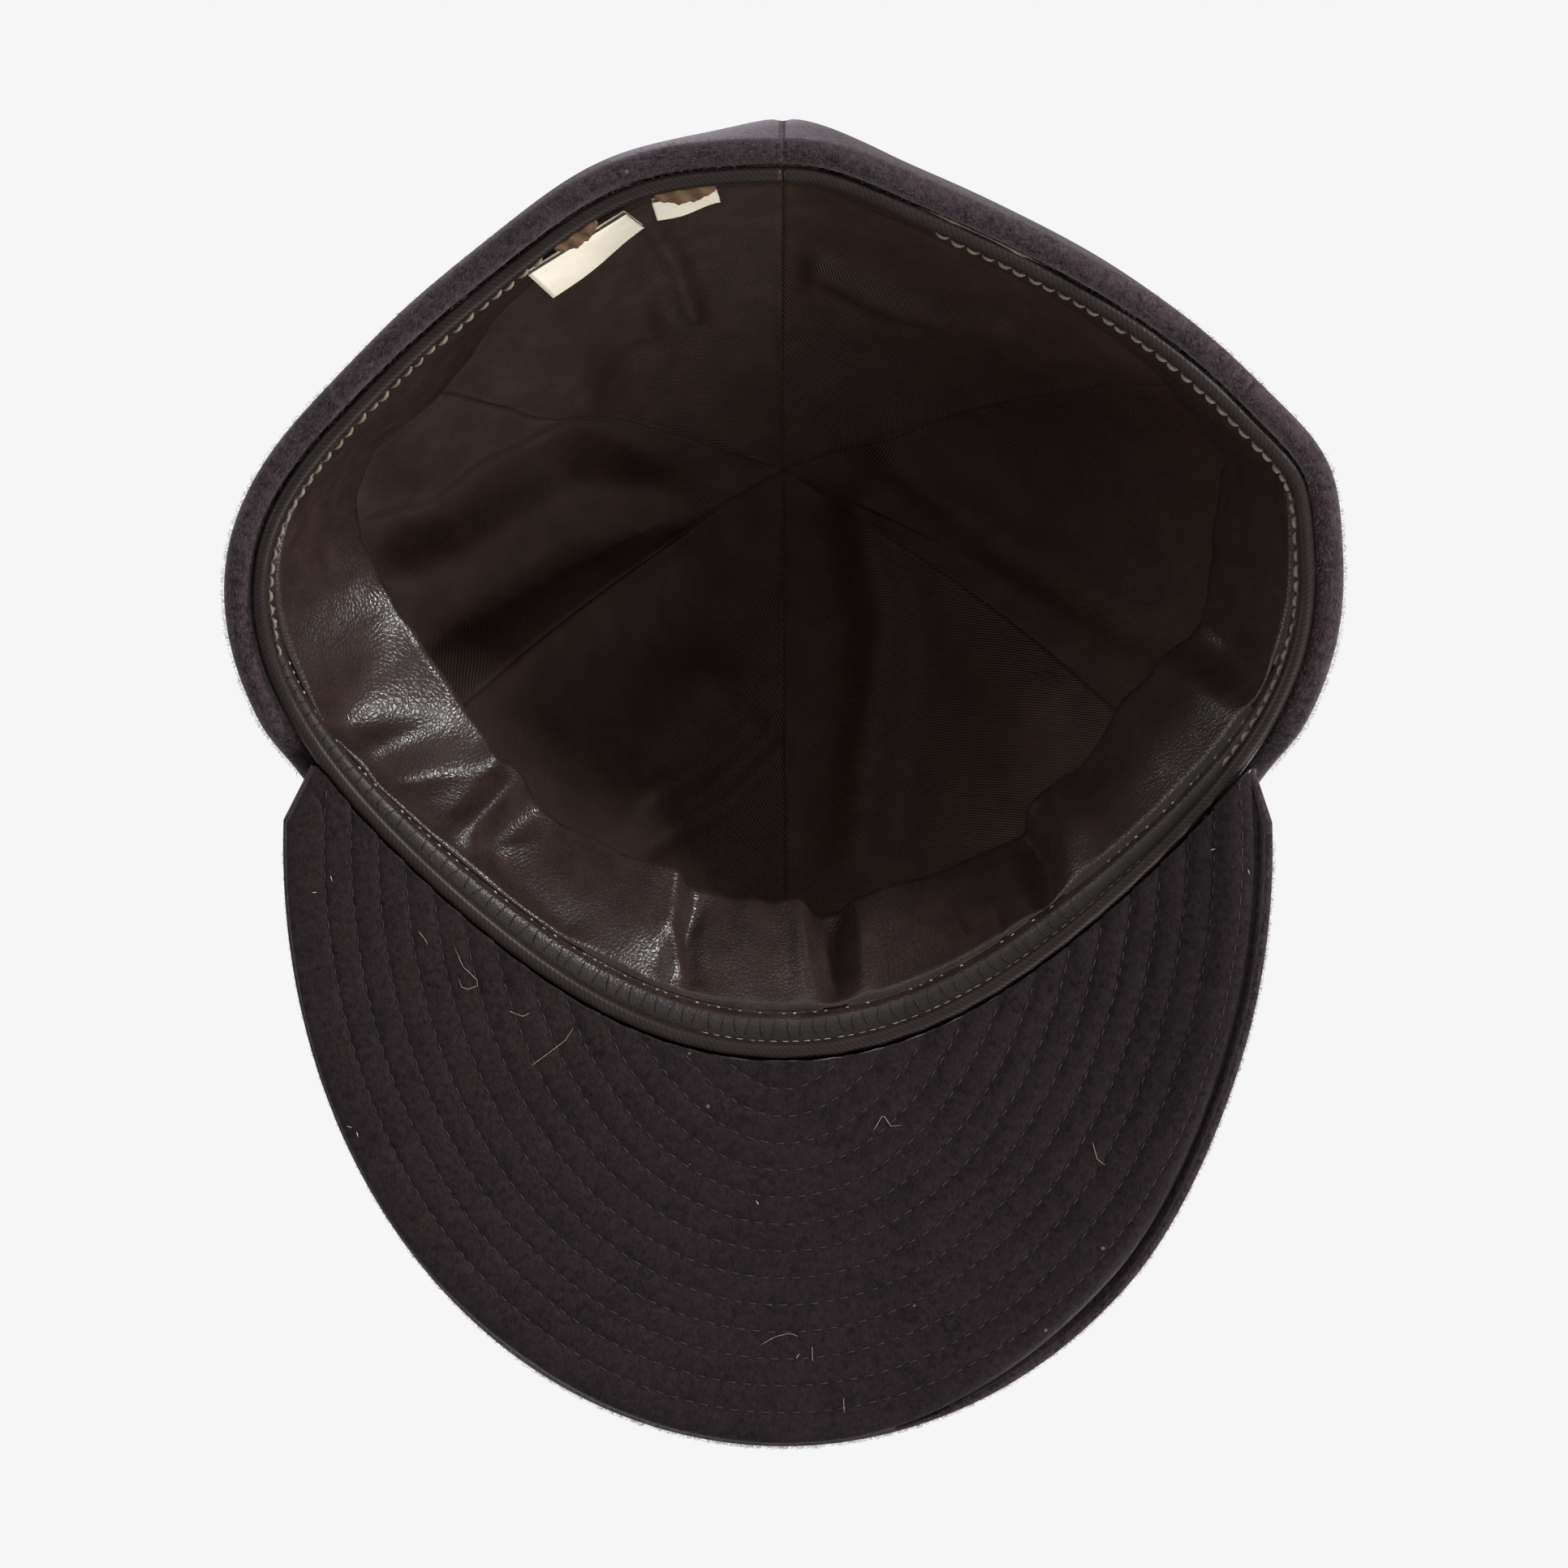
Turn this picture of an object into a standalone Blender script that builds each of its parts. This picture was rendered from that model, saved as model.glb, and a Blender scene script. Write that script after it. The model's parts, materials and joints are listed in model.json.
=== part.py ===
"""A soft six-panel wool cap: stitched visor, leather sweatband with a corded edge, full lining.

Run it with blender --background --python part.py, or from the text editor. Lengths are in metres.
The cap is drawn in its own frame, with the rim of the head opening on the plane Z = 0, the crown
above it, the visor towards -Y and the back seam at +Y. One empty then stands it on a table.
An angle around the head opening is 0 at the back seam, a quarter turn at +X and a half turn in front.
An inset is a distance inwards from the outer face of the crown.
"""

import math

import bmesh
import bpy
import numpy as np
from mathutils import Matrix, Vector

# Head opening, outside the crown
RIM_HALF_WIDTH = 0.1127
RIM_HALF_LENGTH = 0.0965
RIM_FLATTEN = 0.072  # how far the outline is drawn in on its four diagonals, as a share
RIM_CORNER_BACK = 0.0075  # the widest place lies this far behind the middle
# Where the soft rim stands out or in: degrees from the back seam towards +X, spread, share of the radius
RIM_DENTS = ((14.7, 15.8, 0.051), (61.7, 15.9, -0.019), (-73.6, 8.0, 0.024), (-55.4, 20.4, 0.015), (-4.1, 8.0, 0.024))

# Crown panels
PANELS = 6
CROWN_HEIGHT = 0.108
APEX_BACK = 0.010  # the panels meet this far behind the middle of the opening
FRONT_FULLNESS = 1.75  # 2 is a round profile, less leans back, more stands up
BACK_FULLNESS = 1.8
BACK_SWELL = 0.0024  # the cloth stands out round the foot of the back seam
BACK_SWELL_RISE = 0.15
BACK_SWELL_SPREAD = math.radians(5.5)
WAIST = 0.05  # how far the soft wall falls in on the diagonals, as a share
WAIST_FOOT = 0.15  # it starts at this rise and is full this much higher
WAIST_RISE = 0.3
WOOL = 0.0025
SEAM_GAP = 0.0005
SEAM_DIP = 0.0011  # the panels dip to their seams
APEX_HOLE = 0.003

# Hem: each panel turns under and up inside
HEM_TURN = 0.00145  # radius of the turn, at the middle of the cloth
HEM_DEPTH = 0.012

# Gap left between touching pieces
CLEARANCE = 0.0003

# Lining
LINING = 0.0005
LINING_RELAX = 0.018  # height over which the lining leaves the hem
LINING_BILLOW = 0.005
LINING_FOLDS = 9  # slack folds round the crown
LINING_HOLE = 0.0012

# Corded edge of the sweatband
CORD_RADIUS = 0.0009
TAPE = 0.0004
TAPE_FLANGE = 0.0055
FLANGE_LEAN = 0.0006  # its upper edge leans in with the wall

# Leather sweatband
LEATHER = 0.001
BAND_WIDTH = 0.036
BAND_JOIN_GAP = 0.0006
STRIP_RUN_BACK = 0.0008  # the stitched edge strip turns inwards this far before the band rises
STRIP_RUN_FRONT = 0.0062
STRIP_PITCH = math.radians(28)
BAND_SPRING = 1.15  # over 1 the band stands up at its foot and leans more towards its free edge
# Free edge, rippled: place along the rim from the front centre towards +X, and how far it stands in
BAND_EDGE = (
    (-0.300, 0.0072), (-0.240, 0.0074), (-0.220, 0.0078), (-0.210, 0.0084), (-0.190, 0.0109),
    (-0.170, 0.0140), (-0.152, 0.0135), (-0.140, 0.0117), (-0.125, 0.0151), (-0.110, 0.0156),
    (-0.092, 0.0111), (-0.080, 0.0129), (-0.071, 0.0078), (-0.060, 0.0097), (-0.045, 0.0127),
    (-0.030, 0.0142), (-0.021, 0.0114), (-0.009, 0.0123), (-0.002, 0.0164), (0.030, 0.0159),
    (0.040, 0.0181), (0.052, 0.0155), (0.070, 0.0127), (0.090, 0.0161), (0.110, 0.0192),
    (0.128, 0.0212), (0.145, 0.0203), (0.165, 0.0173), (0.190, 0.0112), (0.202, 0.0095),
    (0.220, 0.0119), (0.232, 0.0108), (0.243, 0.0080), (0.262, 0.0072), (0.300, 0.0072),
)

# Visor
VISOR_LENGTH = 0.0768  # in plan, from the inside of the hem to the tip
VISOR_HALF_WIDTH = 0.1004
VISOR_END = math.radians(114)  # where its root leaves the rim, each side
VISOR_END_EDGE = 0.010  # length of the short cut edge at each end
VISOR_SHOULDER = 0.0155  # the widest line lies this far in front of the root's ends
VISOR_SLOPE = math.radians(14)
VISOR_CLOTH = 0.0016
BOARD = 0.0016
BOARD_MARGIN = 0.0034  # the board stops this far from the visor's edge
EDGE_ROLL = 0.0036  # the cloths draw together over this width at the edge
HEM_STEP = 0.014  # the hem climbs on to the visor over this length of rim

# Top button
BUTTON_RADIUS = 0.0075
BUTTON_HEIGHT = 0.0048
BUTTON_SKIRT = 0.0012
TACK_RADIUS = 0.001
TACK_WASHER = 0.0055
TACK_WASHER_THICKNESS = 0.0006
TACK_REACH = 0.0026  # into the button

# Sewn-in labels: (name, angle round the rim, width, length), leaning in from the wall
LABELS = (
    ("care_label", math.radians(25), 0.023, 0.015),
    ("size_label", math.radians(10.5), 0.013, 0.009),
)
LABEL_RIBBON = 0.00025
LABEL_FOLD = 0.00045  # half the gap between the two plies
LABEL_LEAN = math.radians(24)

# Fineness of the curved pieces
PANEL_COLUMNS = (0, 0.05, 0.2, 0.35, 0.5, 0.65, 0.8, 0.95, 1)
LEAST_COLUMN = 0.03  # of a panel's width
PANEL_RISES = (0, 0.1, 0.22, 0.34, 0.46, 0.58, 0.7, 0.82, 0.92)
LINING_ROWS = 8
ROUND_STEPS = 20

# What follows from the sizes above
HEM_INSET = WOOL + 2 * HEM_TURN
VISOR_THICKNESS = 2 * VISOR_CLOTH + BOARD + 2 * CLEARANCE
EDGE_MID_HEIGHT = VISOR_CLOTH / 2 + CLEARANCE / 2
FACE_MID_HEIGHT = BOARD / 2 + CLEARANCE + VISOR_CLOTH / 2
ROOT_INSET = HEM_INSET - VISOR_THICKNESS / 2 * math.sin(VISOR_SLOPE)  # at the visor's middle surface
LINING_INSET = HEM_INSET + CLEARANCE + LINING / 2
LINING_REST = WOOL + SEAM_DIP + TACK_WASHER_THICKNESS + 3 * CLEARANCE + LINING / 2  # below the button's tack
FLANGE_INSET = LINING_INSET + LINING / 2 + CLEARANCE + TAPE / 2
BAND_INSET = FLANGE_INSET + TAPE / 2 + CLEARANCE + LEATHER / 2
TAPE_RADIUS = CORD_RADIUS + CLEARANCE + TAPE / 2
CORD_INSET = HEM_INSET + CLEARANCE + TAPE_RADIUS + TAPE / 2
CORD_HEIGHT = CLEARANCE + TAPE_RADIUS + TAPE / 2
BAND_FOOT = CORD_HEIGHT + TAPE_RADIUS + TAPE / 2 + CLEARANCE
LABEL_INSET = BAND_INSET + LEATHER / 2 + CLEARANCE + LABEL_FOLD + LABEL_RIBBON / 2
NORMAL_STEP = 1e-3


def smooth(value):
    """Rises from 0 to 1 with no corner at either end."""
    share = np.clip(value, 0, 1)
    return share * share * (3 - 2 * share)


def frontness(angle):
    """0 at the back seam, 1 in front."""
    return (1 - np.cos(angle)) / 2


def near(angle, place, spread):
    """1 at this place round the rim, falling to 0 over the spread, all angles in radians."""
    return np.exp(-((2 * np.sin((angle - place) / 2) / spread) ** 2))


def rim_line(angle):
    """X and Y of the rim: an ellipse drawn in on its diagonals and widest behind its middle, with dents."""
    draw = 1 - RIM_FLATTEN * np.sin(2 * angle) ** 2
    dents = 1 + sum(share * near(angle, *np.radians((place, spread))) for place, spread, share in RIM_DENTS)
    x = RIM_HALF_WIDTH * np.sin(angle) * draw
    y = RIM_HALF_LENGTH * np.cos(angle) * draw + RIM_CORNER_BACK * np.sin(angle) ** 2
    return x * dents, y * dents


def rim_plan(angle, inset=0.0):
    """The rim moved in square to itself by the inset."""
    x, y = rim_line(angle)
    before_x, before_y = rim_line(angle - NORMAL_STEP)
    after_x, after_y = rim_line(angle + NORMAL_STEP)
    along_x, along_y = after_x - before_x, after_y - before_y
    speed = np.hypot(along_x, along_y)
    return x + inset * along_y / speed, y - inset * along_x / speed


RIM_ANGLES = np.linspace(0, 2 * math.pi, 1441)
RIM_LENGTHS = np.concatenate(
    ([0], np.cumsum(np.hypot(*(np.diff(axis) for axis in rim_plan(RIM_ANGLES)))))
)
RIM_LENGTH = RIM_LENGTHS[-1]


def angle_at(length):
    """The angle that lies this far along the rim from the back seam."""
    return np.interp(length, RIM_LENGTHS, RIM_ANGLES)


def length_at(angle):
    """How far along the rim this angle lies from the back seam."""
    return np.interp(angle, RIM_ANGLES, RIM_LENGTHS)


RIM_FRONT = length_at(math.pi)
VISOR_START, VISOR_STOP = length_at(np.array([VISOR_END, 2 * math.pi - VISOR_END]))


def panel_shares(panel):
    """Columns of a panel as shares of its width, with more where the hem steps up on to the visor."""
    step = HEM_STEP * np.array([0, 0.5, 1])
    step_places = np.concatenate([VISOR_START - step, VISOR_STOP + step]) * PANELS / RIM_LENGTH - panel
    even = np.array(PANEL_COLUMNS)
    nearest = np.abs(even[:, None] - step_places[None]).min(axis=1)
    seams = (even == 0) | (even == 1)
    inside = step_places[(step_places > LEAST_COLUMN) & (step_places < 1 - LEAST_COLUMN)]
    return np.sort(np.concatenate([even[seams | (nearest > LEAST_COLUMN)], inside]))


# Every piece at the rim runs straight between the same stations, so that the gaps between them stay even.
STATIONS = np.concatenate(
    [(panel + panel_shares(panel)[:-1]) * RIM_LENGTH / PANELS for panel in range(PANELS)] + [[RIM_LENGTH]]
)


def rim_stations(length, inset):
    """X and Y at this length along the rim, on straight runs between the stations."""
    x, y = rim_plan(angle_at(STATIONS), inset)
    return np.interp(length, STATIONS, x), np.interp(length, STATIONS, y)


def rim_lift(angle):
    """Height of the hem's lower edge: 0 at the sides and back, on top of the visor in front."""
    from_front = np.abs(length_at(angle) - RIM_FRONT)
    visor_reach = RIM_FRONT - VISOR_START
    past_visor = (from_front - visor_reach) / HEM_STEP
    return (VISOR_THICKNESS + CLEARANCE) * (1 - smooth(past_visor))


def wall_foot(angle):
    """Height where the upright wall of the crown starts, above the turn of the hem."""
    return rim_lift(angle) + HEM_TURN + WOOL / 2


def fullness(angle):
    """Exponent of the crown's profile at this angle."""
    return BACK_FULLNESS + (FRONT_FULLNESS - BACK_FULLNESS) * frontness(angle)


def crown_face(angle, rise):
    """A point of the crown's outer face. Rise is 0 at the hem and 1 where the panels meet."""
    power = 2 / fullness(angle)
    out = np.cos(rise * math.pi / 2) ** power
    up = np.sin(rise * math.pi / 2) ** power
    fall = smooth((rise - WAIST_FOOT) / WAIST_RISE) * np.cos(rise * math.pi / 2)
    out = out * (1 - WAIST * np.sin(2 * angle) ** 2 * fall)
    rim_x, rim_y = rim_line(angle)
    share = rise / BACK_SWELL_RISE
    swell = BACK_SWELL * (share * np.exp(1 - share)) ** 2 * near(angle, 0.0, BACK_SWELL_SPREAD)
    foot = wall_foot(angle)
    x = rim_x * out
    y = APEX_BACK + (rim_y - APEX_BACK) * out + swell
    return np.stack([x, y, foot + (CROWN_HEIGHT - foot) * up], axis=-1)


def crown_point(angle, rise, inset):
    """A point set in from the crown's outer face, square to it."""
    angle, rise, inset = np.broadcast_arrays(angle, rise, inset)
    low = np.clip(rise - NORMAL_STEP, 0, 1)
    high = np.clip(rise + NORMAL_STEP, 0, 1)
    up = crown_face(angle, high) - crown_face(angle, low)
    round_the_head = crown_face(angle + NORMAL_STEP, rise) - crown_face(angle - NORMAL_STEP, rise)
    normal = np.cross(up, round_the_head)
    normal /= np.linalg.norm(normal, axis=-1, keepdims=True)
    return crown_face(angle, rise) - inset[..., None] * normal


def rise_at(angle, height):
    """The rise at which the crown's outer face has this height."""
    foot = wall_foot(angle)
    share = np.clip((height - foot) / (CROWN_HEIGHT - foot), 0, 1)
    return np.arcsin(share ** (fullness(angle) / 2)) * 2 / math.pi


def rise_to_hole(angle, radius):
    """The rise at which the panels stop short of the point where they meet."""
    share = radius / np.hypot(*rim_plan(angle))
    return np.arccos(share ** (fullness(angle) / 2)) * 2 / math.pi


def principled(name, colour, roughness, metallic=0.0):
    material = bpy.data.materials.new(name)
    material.use_nodes = True
    shader = material.node_tree.nodes["Principled BSDF"]
    shader.inputs["Base Color"].default_value = (*colour, 1)
    shader.inputs["Roughness"].default_value = roughness
    shader.inputs["Metallic"].default_value = metallic
    return material


def clear_scene():
    for obj in list(bpy.data.objects):
        bpy.data.objects.remove(obj)


def add_part(name, mesh, finish, cap):
    """Puts a mesh or a curve in the cap's collection, hung on the cap's own frame."""
    obj = bpy.data.objects.new(name, mesh)
    mesh.materials.append(finish)
    cap["collection"].objects.link(obj)
    obj.parent = cap["frame"]
    return obj


def sheet(name, points, thickness, finish, cap):
    """A grid laid through rows of points and thickened equally to both sides."""
    rows, columns = points.shape[0] - 1, points.shape[1] - 1
    grid = bmesh.new()
    bmesh.ops.create_grid(grid, x_segments=columns, y_segments=rows, size=1)
    for vert in grid.verts:
        column = round((vert.co.x + 1) / 2 * columns)
        row = round((vert.co.y + 1) / 2 * rows)
        vert.co = points[row, column]
    mesh = bpy.data.meshes.new(name)
    grid.to_mesh(mesh)
    grid.free()
    mesh.shade_smooth()
    mesh.set_sharp_from_angle(angle=math.radians(50))
    obj = add_part(name, mesh, finish, cap)
    solidify = obj.modifiers.new("thickness", "SOLIDIFY")
    solidify.thickness = thickness
    solidify.offset = 0
    return obj


def turned(name, profile, finish, cap):
    """A profile of (radius, height) points, top to bottom, spun about Z through the object's origin."""
    mesh = bpy.data.meshes.new(name)
    edges = [(i, i + 1) for i in range(len(profile) - 1)]
    mesh.from_pydata([(radius, 0, height) for radius, height in profile], edges, [])
    obj = add_part(name, mesh, finish, cap)
    spin = obj.modifiers.new("spin", "SCREW")
    spin.steps = spin.render_steps = ROUND_STEPS
    spin.use_merge_vertices = True
    spin.merge_threshold = 1e-5
    spin.use_smooth_shade = True
    return obj


def seam_angles(panel, shares):
    """Angles of a panel's columns. Panels share the rim equally, from the back seam."""
    return angle_at((panel + np.asarray(shares)) * RIM_LENGTH / PANELS)


def panel_width(panel, rise):
    """Straight width of a panel from seam to seam at this rise."""
    ends = seam_angles(panel, (0, 1))
    return np.linalg.norm(crown_face(ends[1], rise) - crown_face(ends[0], rise))


def between_seams(panel, rise, shares):
    """Angles of a panel's columns at this rise, drawn in so that neighbours keep the seam gap."""
    margin = SEAM_GAP / 2 / panel_width(panel, rise)
    return seam_angles(panel, margin + (1 - 2 * margin) * shares)


def crown_panel(name, panel, finish, cap):
    """One gore of wool: the flap turned up inside, the turn of the hem, and the wall up to the top."""
    shares = panel_shares(panel)
    edge_dip = SEAM_DIP * np.maximum(smooth(1 - shares / 0.2), smooth(1 - (1 - shares) / 0.2))
    foot_angles = between_seams(panel, 0.0, shares)
    flap_inset = WOOL / 2 + 2 * HEM_TURN
    rows = []
    for height in (HEM_DEPTH, HEM_DEPTH / 2, 0):
        rise = rise_at(foot_angles, wall_foot(foot_angles) + height)
        rows.append(crown_point(foot_angles, rise, flap_inset))
    for turn in (0.25, 0.5, 0.75):
        inset = WOOL / 2 + HEM_TURN * (1 + math.cos(turn * math.pi))
        row = crown_point(foot_angles, 0.0, inset)
        row[:, 2] -= HEM_TURN * math.sin(turn * math.pi)
        rows.append(row)
    top = rise_to_hole(seam_angles(panel, np.array([0.5])), APEX_HOLE)[0]
    for rise in (*PANEL_RISES, top):
        angles = between_seams(panel, rise, shares)
        narrowing = panel_width(panel, rise) / panel_width(panel, 0.0)
        rows.append(crown_point(angles, rise, WOOL / 2 + edge_dip * narrowing * smooth(rise / 0.12)))
    return sheet(name, np.array(rows), WOOL, finish, cap)


def lining_inset(angle, height):
    """The lining lies on the hem, relaxes to the crown above it, and billows in slack folds."""
    hem_top = wall_foot(angle) + HEM_DEPTH
    leave = smooth((height - hem_top) / LINING_RELAX)
    slack = smooth((height - 0.45 * CROWN_HEIGHT) / (0.25 * CROWN_HEIGHT))
    slack = slack * (1 - smooth((height - 0.9 * CROWN_HEIGHT) / (0.1 * CROWN_HEIGHT)))
    folds = 0.5 + 0.5 * np.sin(LINING_FOLDS * angle + 2.2 * np.sin(3 * angle) + 9 * height / CROWN_HEIGHT)
    return LINING_INSET + (LINING_REST - LINING_INSET) * leave + LINING_BILLOW * slack * folds


def lining_panel(name, panel, finish, cap):
    """One gore of lining, from the foot of the sweatband to the top of the crown."""
    shares = panel_shares(panel)
    top = rise_to_hole(seam_angles(panel, np.array([0.5])), LINING_HOLE)[0]
    foot_angles = between_seams(panel, 0.0, shares)
    rows = []
    # Over the hem the rows follow the height of the sweatband's foot, not the crown's own.
    for share in (0, 0.5):
        height = BAND_FOOT + share * HEM_DEPTH
        rise = rise_at(foot_angles, np.maximum(height, wall_foot(foot_angles)))
        row = crown_point(foot_angles, rise, LINING_INSET)
        row[:, 2] += np.minimum(height - wall_foot(foot_angles), 0)
        rows.append(row)
    start = rise_at(foot_angles, wall_foot(foot_angles) + HEM_DEPTH + BAND_FOOT)
    for share in np.linspace(0, 1, LINING_ROWS):
        rise = start + (top - start) * share
        angles = between_seams(panel, np.mean(rise), shares)
        height = crown_face(angles, rise)[:, 2]
        rows.append(crown_point(angles, rise, lining_inset(angles, height)))
    return sheet(name, np.array(rows), LINING, finish, cap)


def open_loop(inset, halves=1):
    """Lengths along the rim from one end of a strip to the other, which meet at the back seam."""
    margin = BAND_JOIN_GAP / 2 / (1 - 2 * math.pi * inset / RIM_LENGTH)
    places = np.interp(np.arange((len(STATIONS) - 1) * halves + 1) / halves, np.arange(len(STATIONS)), STATIONS)
    places[0], places[-1] = margin, RIM_LENGTH - margin
    return places


def on_rim(length, inset, height):
    """Points at these lengths along the rim, with an inset square to it and a height for each."""
    length, inset, height = np.broadcast_arrays(length, inset, height)
    outer_x, outer_y = rim_stations(length, 0.0)
    inner_x, inner_y = rim_stations(length, BAND_INSET)
    share = inset / BAND_INSET
    x = outer_x + (inner_x - outer_x) * share
    y = outer_y + (inner_y - outer_y) * share
    return np.stack([x, y, height], axis=-1)


def edge_cord(finish, cap):
    """The cord inside the sweatband's edge, its two ends meeting at the back."""
    points = on_rim(open_loop(CORD_INSET), CORD_INSET, CORD_HEIGHT)
    curve = bpy.data.curves.new("edge_cord", "CURVE")
    curve.dimensions = "3D"
    curve.bevel_depth = CORD_RADIUS
    curve.bevel_resolution = 1
    curve.use_fill_caps = True
    spline = curve.splines.new("POLY")
    spline.points.add(len(points) - 1)
    for target, point in zip(spline.points, points):
        target.co = (*point, 1)
    return add_part("edge_cord", curve, finish, cap)


def edge_tape(finish, cap):
    """The tape folded round the cord, with the flange that is sewn between lining and leather."""
    places = open_loop(CORD_INSET)
    leave = math.acos((FLANGE_INSET - CORD_INSET) / TAPE_RADIUS)
    flange_foot = CORD_HEIGHT + TAPE_RADIUS * math.sin(leave)
    section = [(FLANGE_INSET + FLANGE_LEAN, flange_foot + TAPE_FLANGE), (FLANGE_INSET, flange_foot)]
    for turn in np.linspace(leave, math.radians(45) + 2 * math.pi, 7)[1:]:
        inset = CORD_INSET + TAPE_RADIUS * math.cos(turn)
        section.append((inset, CORD_HEIGHT + TAPE_RADIUS * math.sin(turn)))
    rows = [on_rim(places, inset, height) for inset, height in section]
    return sheet("edge_tape", np.array(rows), TAPE, finish, cap)


def band_edge(length):
    """How far the free edge of the sweatband stands in from its strip, at this length along the rim."""
    return np.interp(RIM_FRONT - length, *np.array(BAND_EDGE).T)


def band_run(angle):
    """How far the sweatband's stitched edge strip turns inwards before the band rises."""
    return STRIP_RUN_BACK + (STRIP_RUN_FRONT - STRIP_RUN_BACK) * frontness(angle) ** 2


def sweatband(finish, cap):
    """A leather strip: its stitched edge turns inwards on the cord, then the band leans in and ripples."""
    places = open_loop(BAND_INSET, halves=2)
    angles = angle_at(places)
    run = band_run(angles)
    rise = BAND_WIDTH - run / math.cos(STRIP_PITCH)
    edge = band_edge(places)
    rows = [
        on_rim(places, BAND_INSET, BAND_FOOT),
        on_rim(places, BAND_INSET + run, BAND_FOOT + run * math.tan(STRIP_PITCH)),
    ]
    for share in (0.15, 0.4, 0.7, 1.0):
        inwards = edge * share**BAND_SPRING
        height = BAND_FOOT + run * math.tan(STRIP_PITCH) + np.sqrt(rise**2 - edge**2) * share
        rows.append(on_rim(places, BAND_INSET + run + inwards, height))
    return sheet("sweatband", np.array(rows), LEATHER, finish, cap)


def visor_root(shares):
    """Plan points of the visor's inner edge, from the +X end to the -X end, as (x, forward)."""
    x, y = rim_stations(VISOR_START + (VISOR_STOP - VISOR_START) * shares, ROOT_INSET)
    return np.stack([x, -y], axis=-1)


VISOR_ROOT_ENDS = visor_root(np.array([0.0, 0.5]))
ROOT_FORWARD = VISOR_ROOT_ENDS[1, 1]
VISOR_ARCH = (ROOT_FORWARD - VISOR_ROOT_ENDS[0, 1]) * math.tan(VISOR_SLOPE) / VISOR_ROOT_ENDS[0, 0] ** 2


def visor_outline(shares):
    """Plan points of the visor's outer edge: a long half ellipse between its two shoulders."""
    shoulder = VISOR_ROOT_ENDS[0, 1] + VISOR_SHOULDER
    reach = ROOT_FORWARD + VISOR_LENGTH - shoulder
    start = math.asin((VISOR_END_EDGE - VISOR_SHOULDER) / reach)
    turn = start + (math.pi - 2 * start) * shares
    return np.stack([VISOR_HALF_WIDTH * np.cos(turn), shoulder + reach * np.sin(turn)], axis=-1)


def visor_middle(plan):
    """The visor's middle surface over plan points: it slopes down forwards and arches across."""
    x, forward = plan[..., 0], plan[..., 1]
    height = VISOR_THICKNESS / 2 - (forward - ROOT_FORWARD) * math.tan(VISOR_SLOPE) - VISOR_ARCH * x**2
    normal = np.stack([2 * VISOR_ARCH * x, np.full_like(x, -math.tan(VISOR_SLOPE)), np.ones_like(x)], axis=-1)
    normal /= np.linalg.norm(normal, axis=-1, keepdims=True)
    return np.stack([x, -forward, height], axis=-1), normal


def visor_plan(margin):
    """Rows of plan points from root to edge, stopping this far from the free edges."""
    inside = STATIONS[(STATIONS > VISOR_START) & (STATIONS < VISOR_STOP)]
    even = (inside - VISOR_START) / (VISOR_STOP - VISOR_START)
    # Near each end two more columns follow the roll of the cloths, on about this share of the outline.
    outline_speed = np.linalg.norm(visor_outline(np.array([0.0])) - visor_outline(np.array([0.01]))) / 0.01
    roll_share = EDGE_ROLL / outline_speed
    side_share = margin / outline_speed
    ends = side_share + roll_share * np.array([0, 0.4, 1])
    even = even[(even > 1.5 * ends[-1]) & (even < 1 - 1.5 * ends[-1])]
    columns = np.concatenate([ends, even, 1 - ends[::-1]])
    inner_edge = visor_root(columns)
    outer_edge = visor_outline(columns)
    run = np.linalg.norm(outer_edge - inner_edge, axis=-1)[:, None]
    rows = []
    for share in (0, 0.25, 0.5, 0.75):
        rows.append(inner_edge + (outer_edge - inner_edge) * share * (1 - EDGE_ROLL / run))
    for left in (EDGE_ROLL, EDGE_ROLL * 0.4, EDGE_ROLL * 0.12, 0):
        if left >= margin:
            rows.append(inner_edge + (outer_edge - inner_edge) * (1 - left / run))
    to_end = np.minimum(columns, 1 - columns)[None, :] / roll_share * EDGE_ROLL
    plan = np.array(rows)
    to_edge = np.linalg.norm(plan - outer_edge[None], axis=-1)
    return plan, np.minimum(to_edge, np.broadcast_to(to_end, to_edge.shape))


def visor_cloth(name, side, finish, cap):
    """Upper (side 1) or lower (side -1) cloth, rolled in to the seam along the visor's edge."""
    plan, to_edge = visor_plan(0.0)
    middle, normal = visor_middle(plan)
    roll = np.sqrt(1 - (1 - np.clip(to_edge / EDGE_ROLL, 0, 1)) ** 2)
    height = EDGE_MID_HEIGHT + (FACE_MID_HEIGHT - EDGE_MID_HEIGHT) * roll
    return sheet(name, middle + side * height[..., None] * normal, VISOR_CLOTH, finish, cap)


def visor_board(finish, cap):
    """The stiff board between the two cloths."""
    plan, _ = visor_plan(BOARD_MARGIN)
    middle, _ = visor_middle(plan)
    return sheet("visor_board", middle, BOARD, finish, cap)


def apex():
    """Where the button stands: over the middle of the panels' outer faces."""
    return Vector((0, APEX_BACK, CROWN_HEIGHT))


def top_button(finish, cap):
    """A cloth-covered dome with a blind hole for the tack."""
    hole = TACK_RADIUS + CLEARANCE
    dome = [
        (BUTTON_RADIUS * math.sin(turn), BUTTON_SKIRT + (BUTTON_HEIGHT - BUTTON_SKIRT) * math.cos(turn))
        for turn in np.linspace(0, math.pi / 2, 7)
    ]
    underside = [
        (BUTTON_RADIUS - BUTTON_SKIRT / 2, 0),
        (hole, 0),
        (hole, TACK_REACH + CLEARANCE),
        (0, TACK_REACH + CLEARANCE),
    ]
    obj = turned("top_button", dome + underside, finish, cap)
    obj.location = apex() + Vector((0, 0, CLEARANCE))
    return obj


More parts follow.
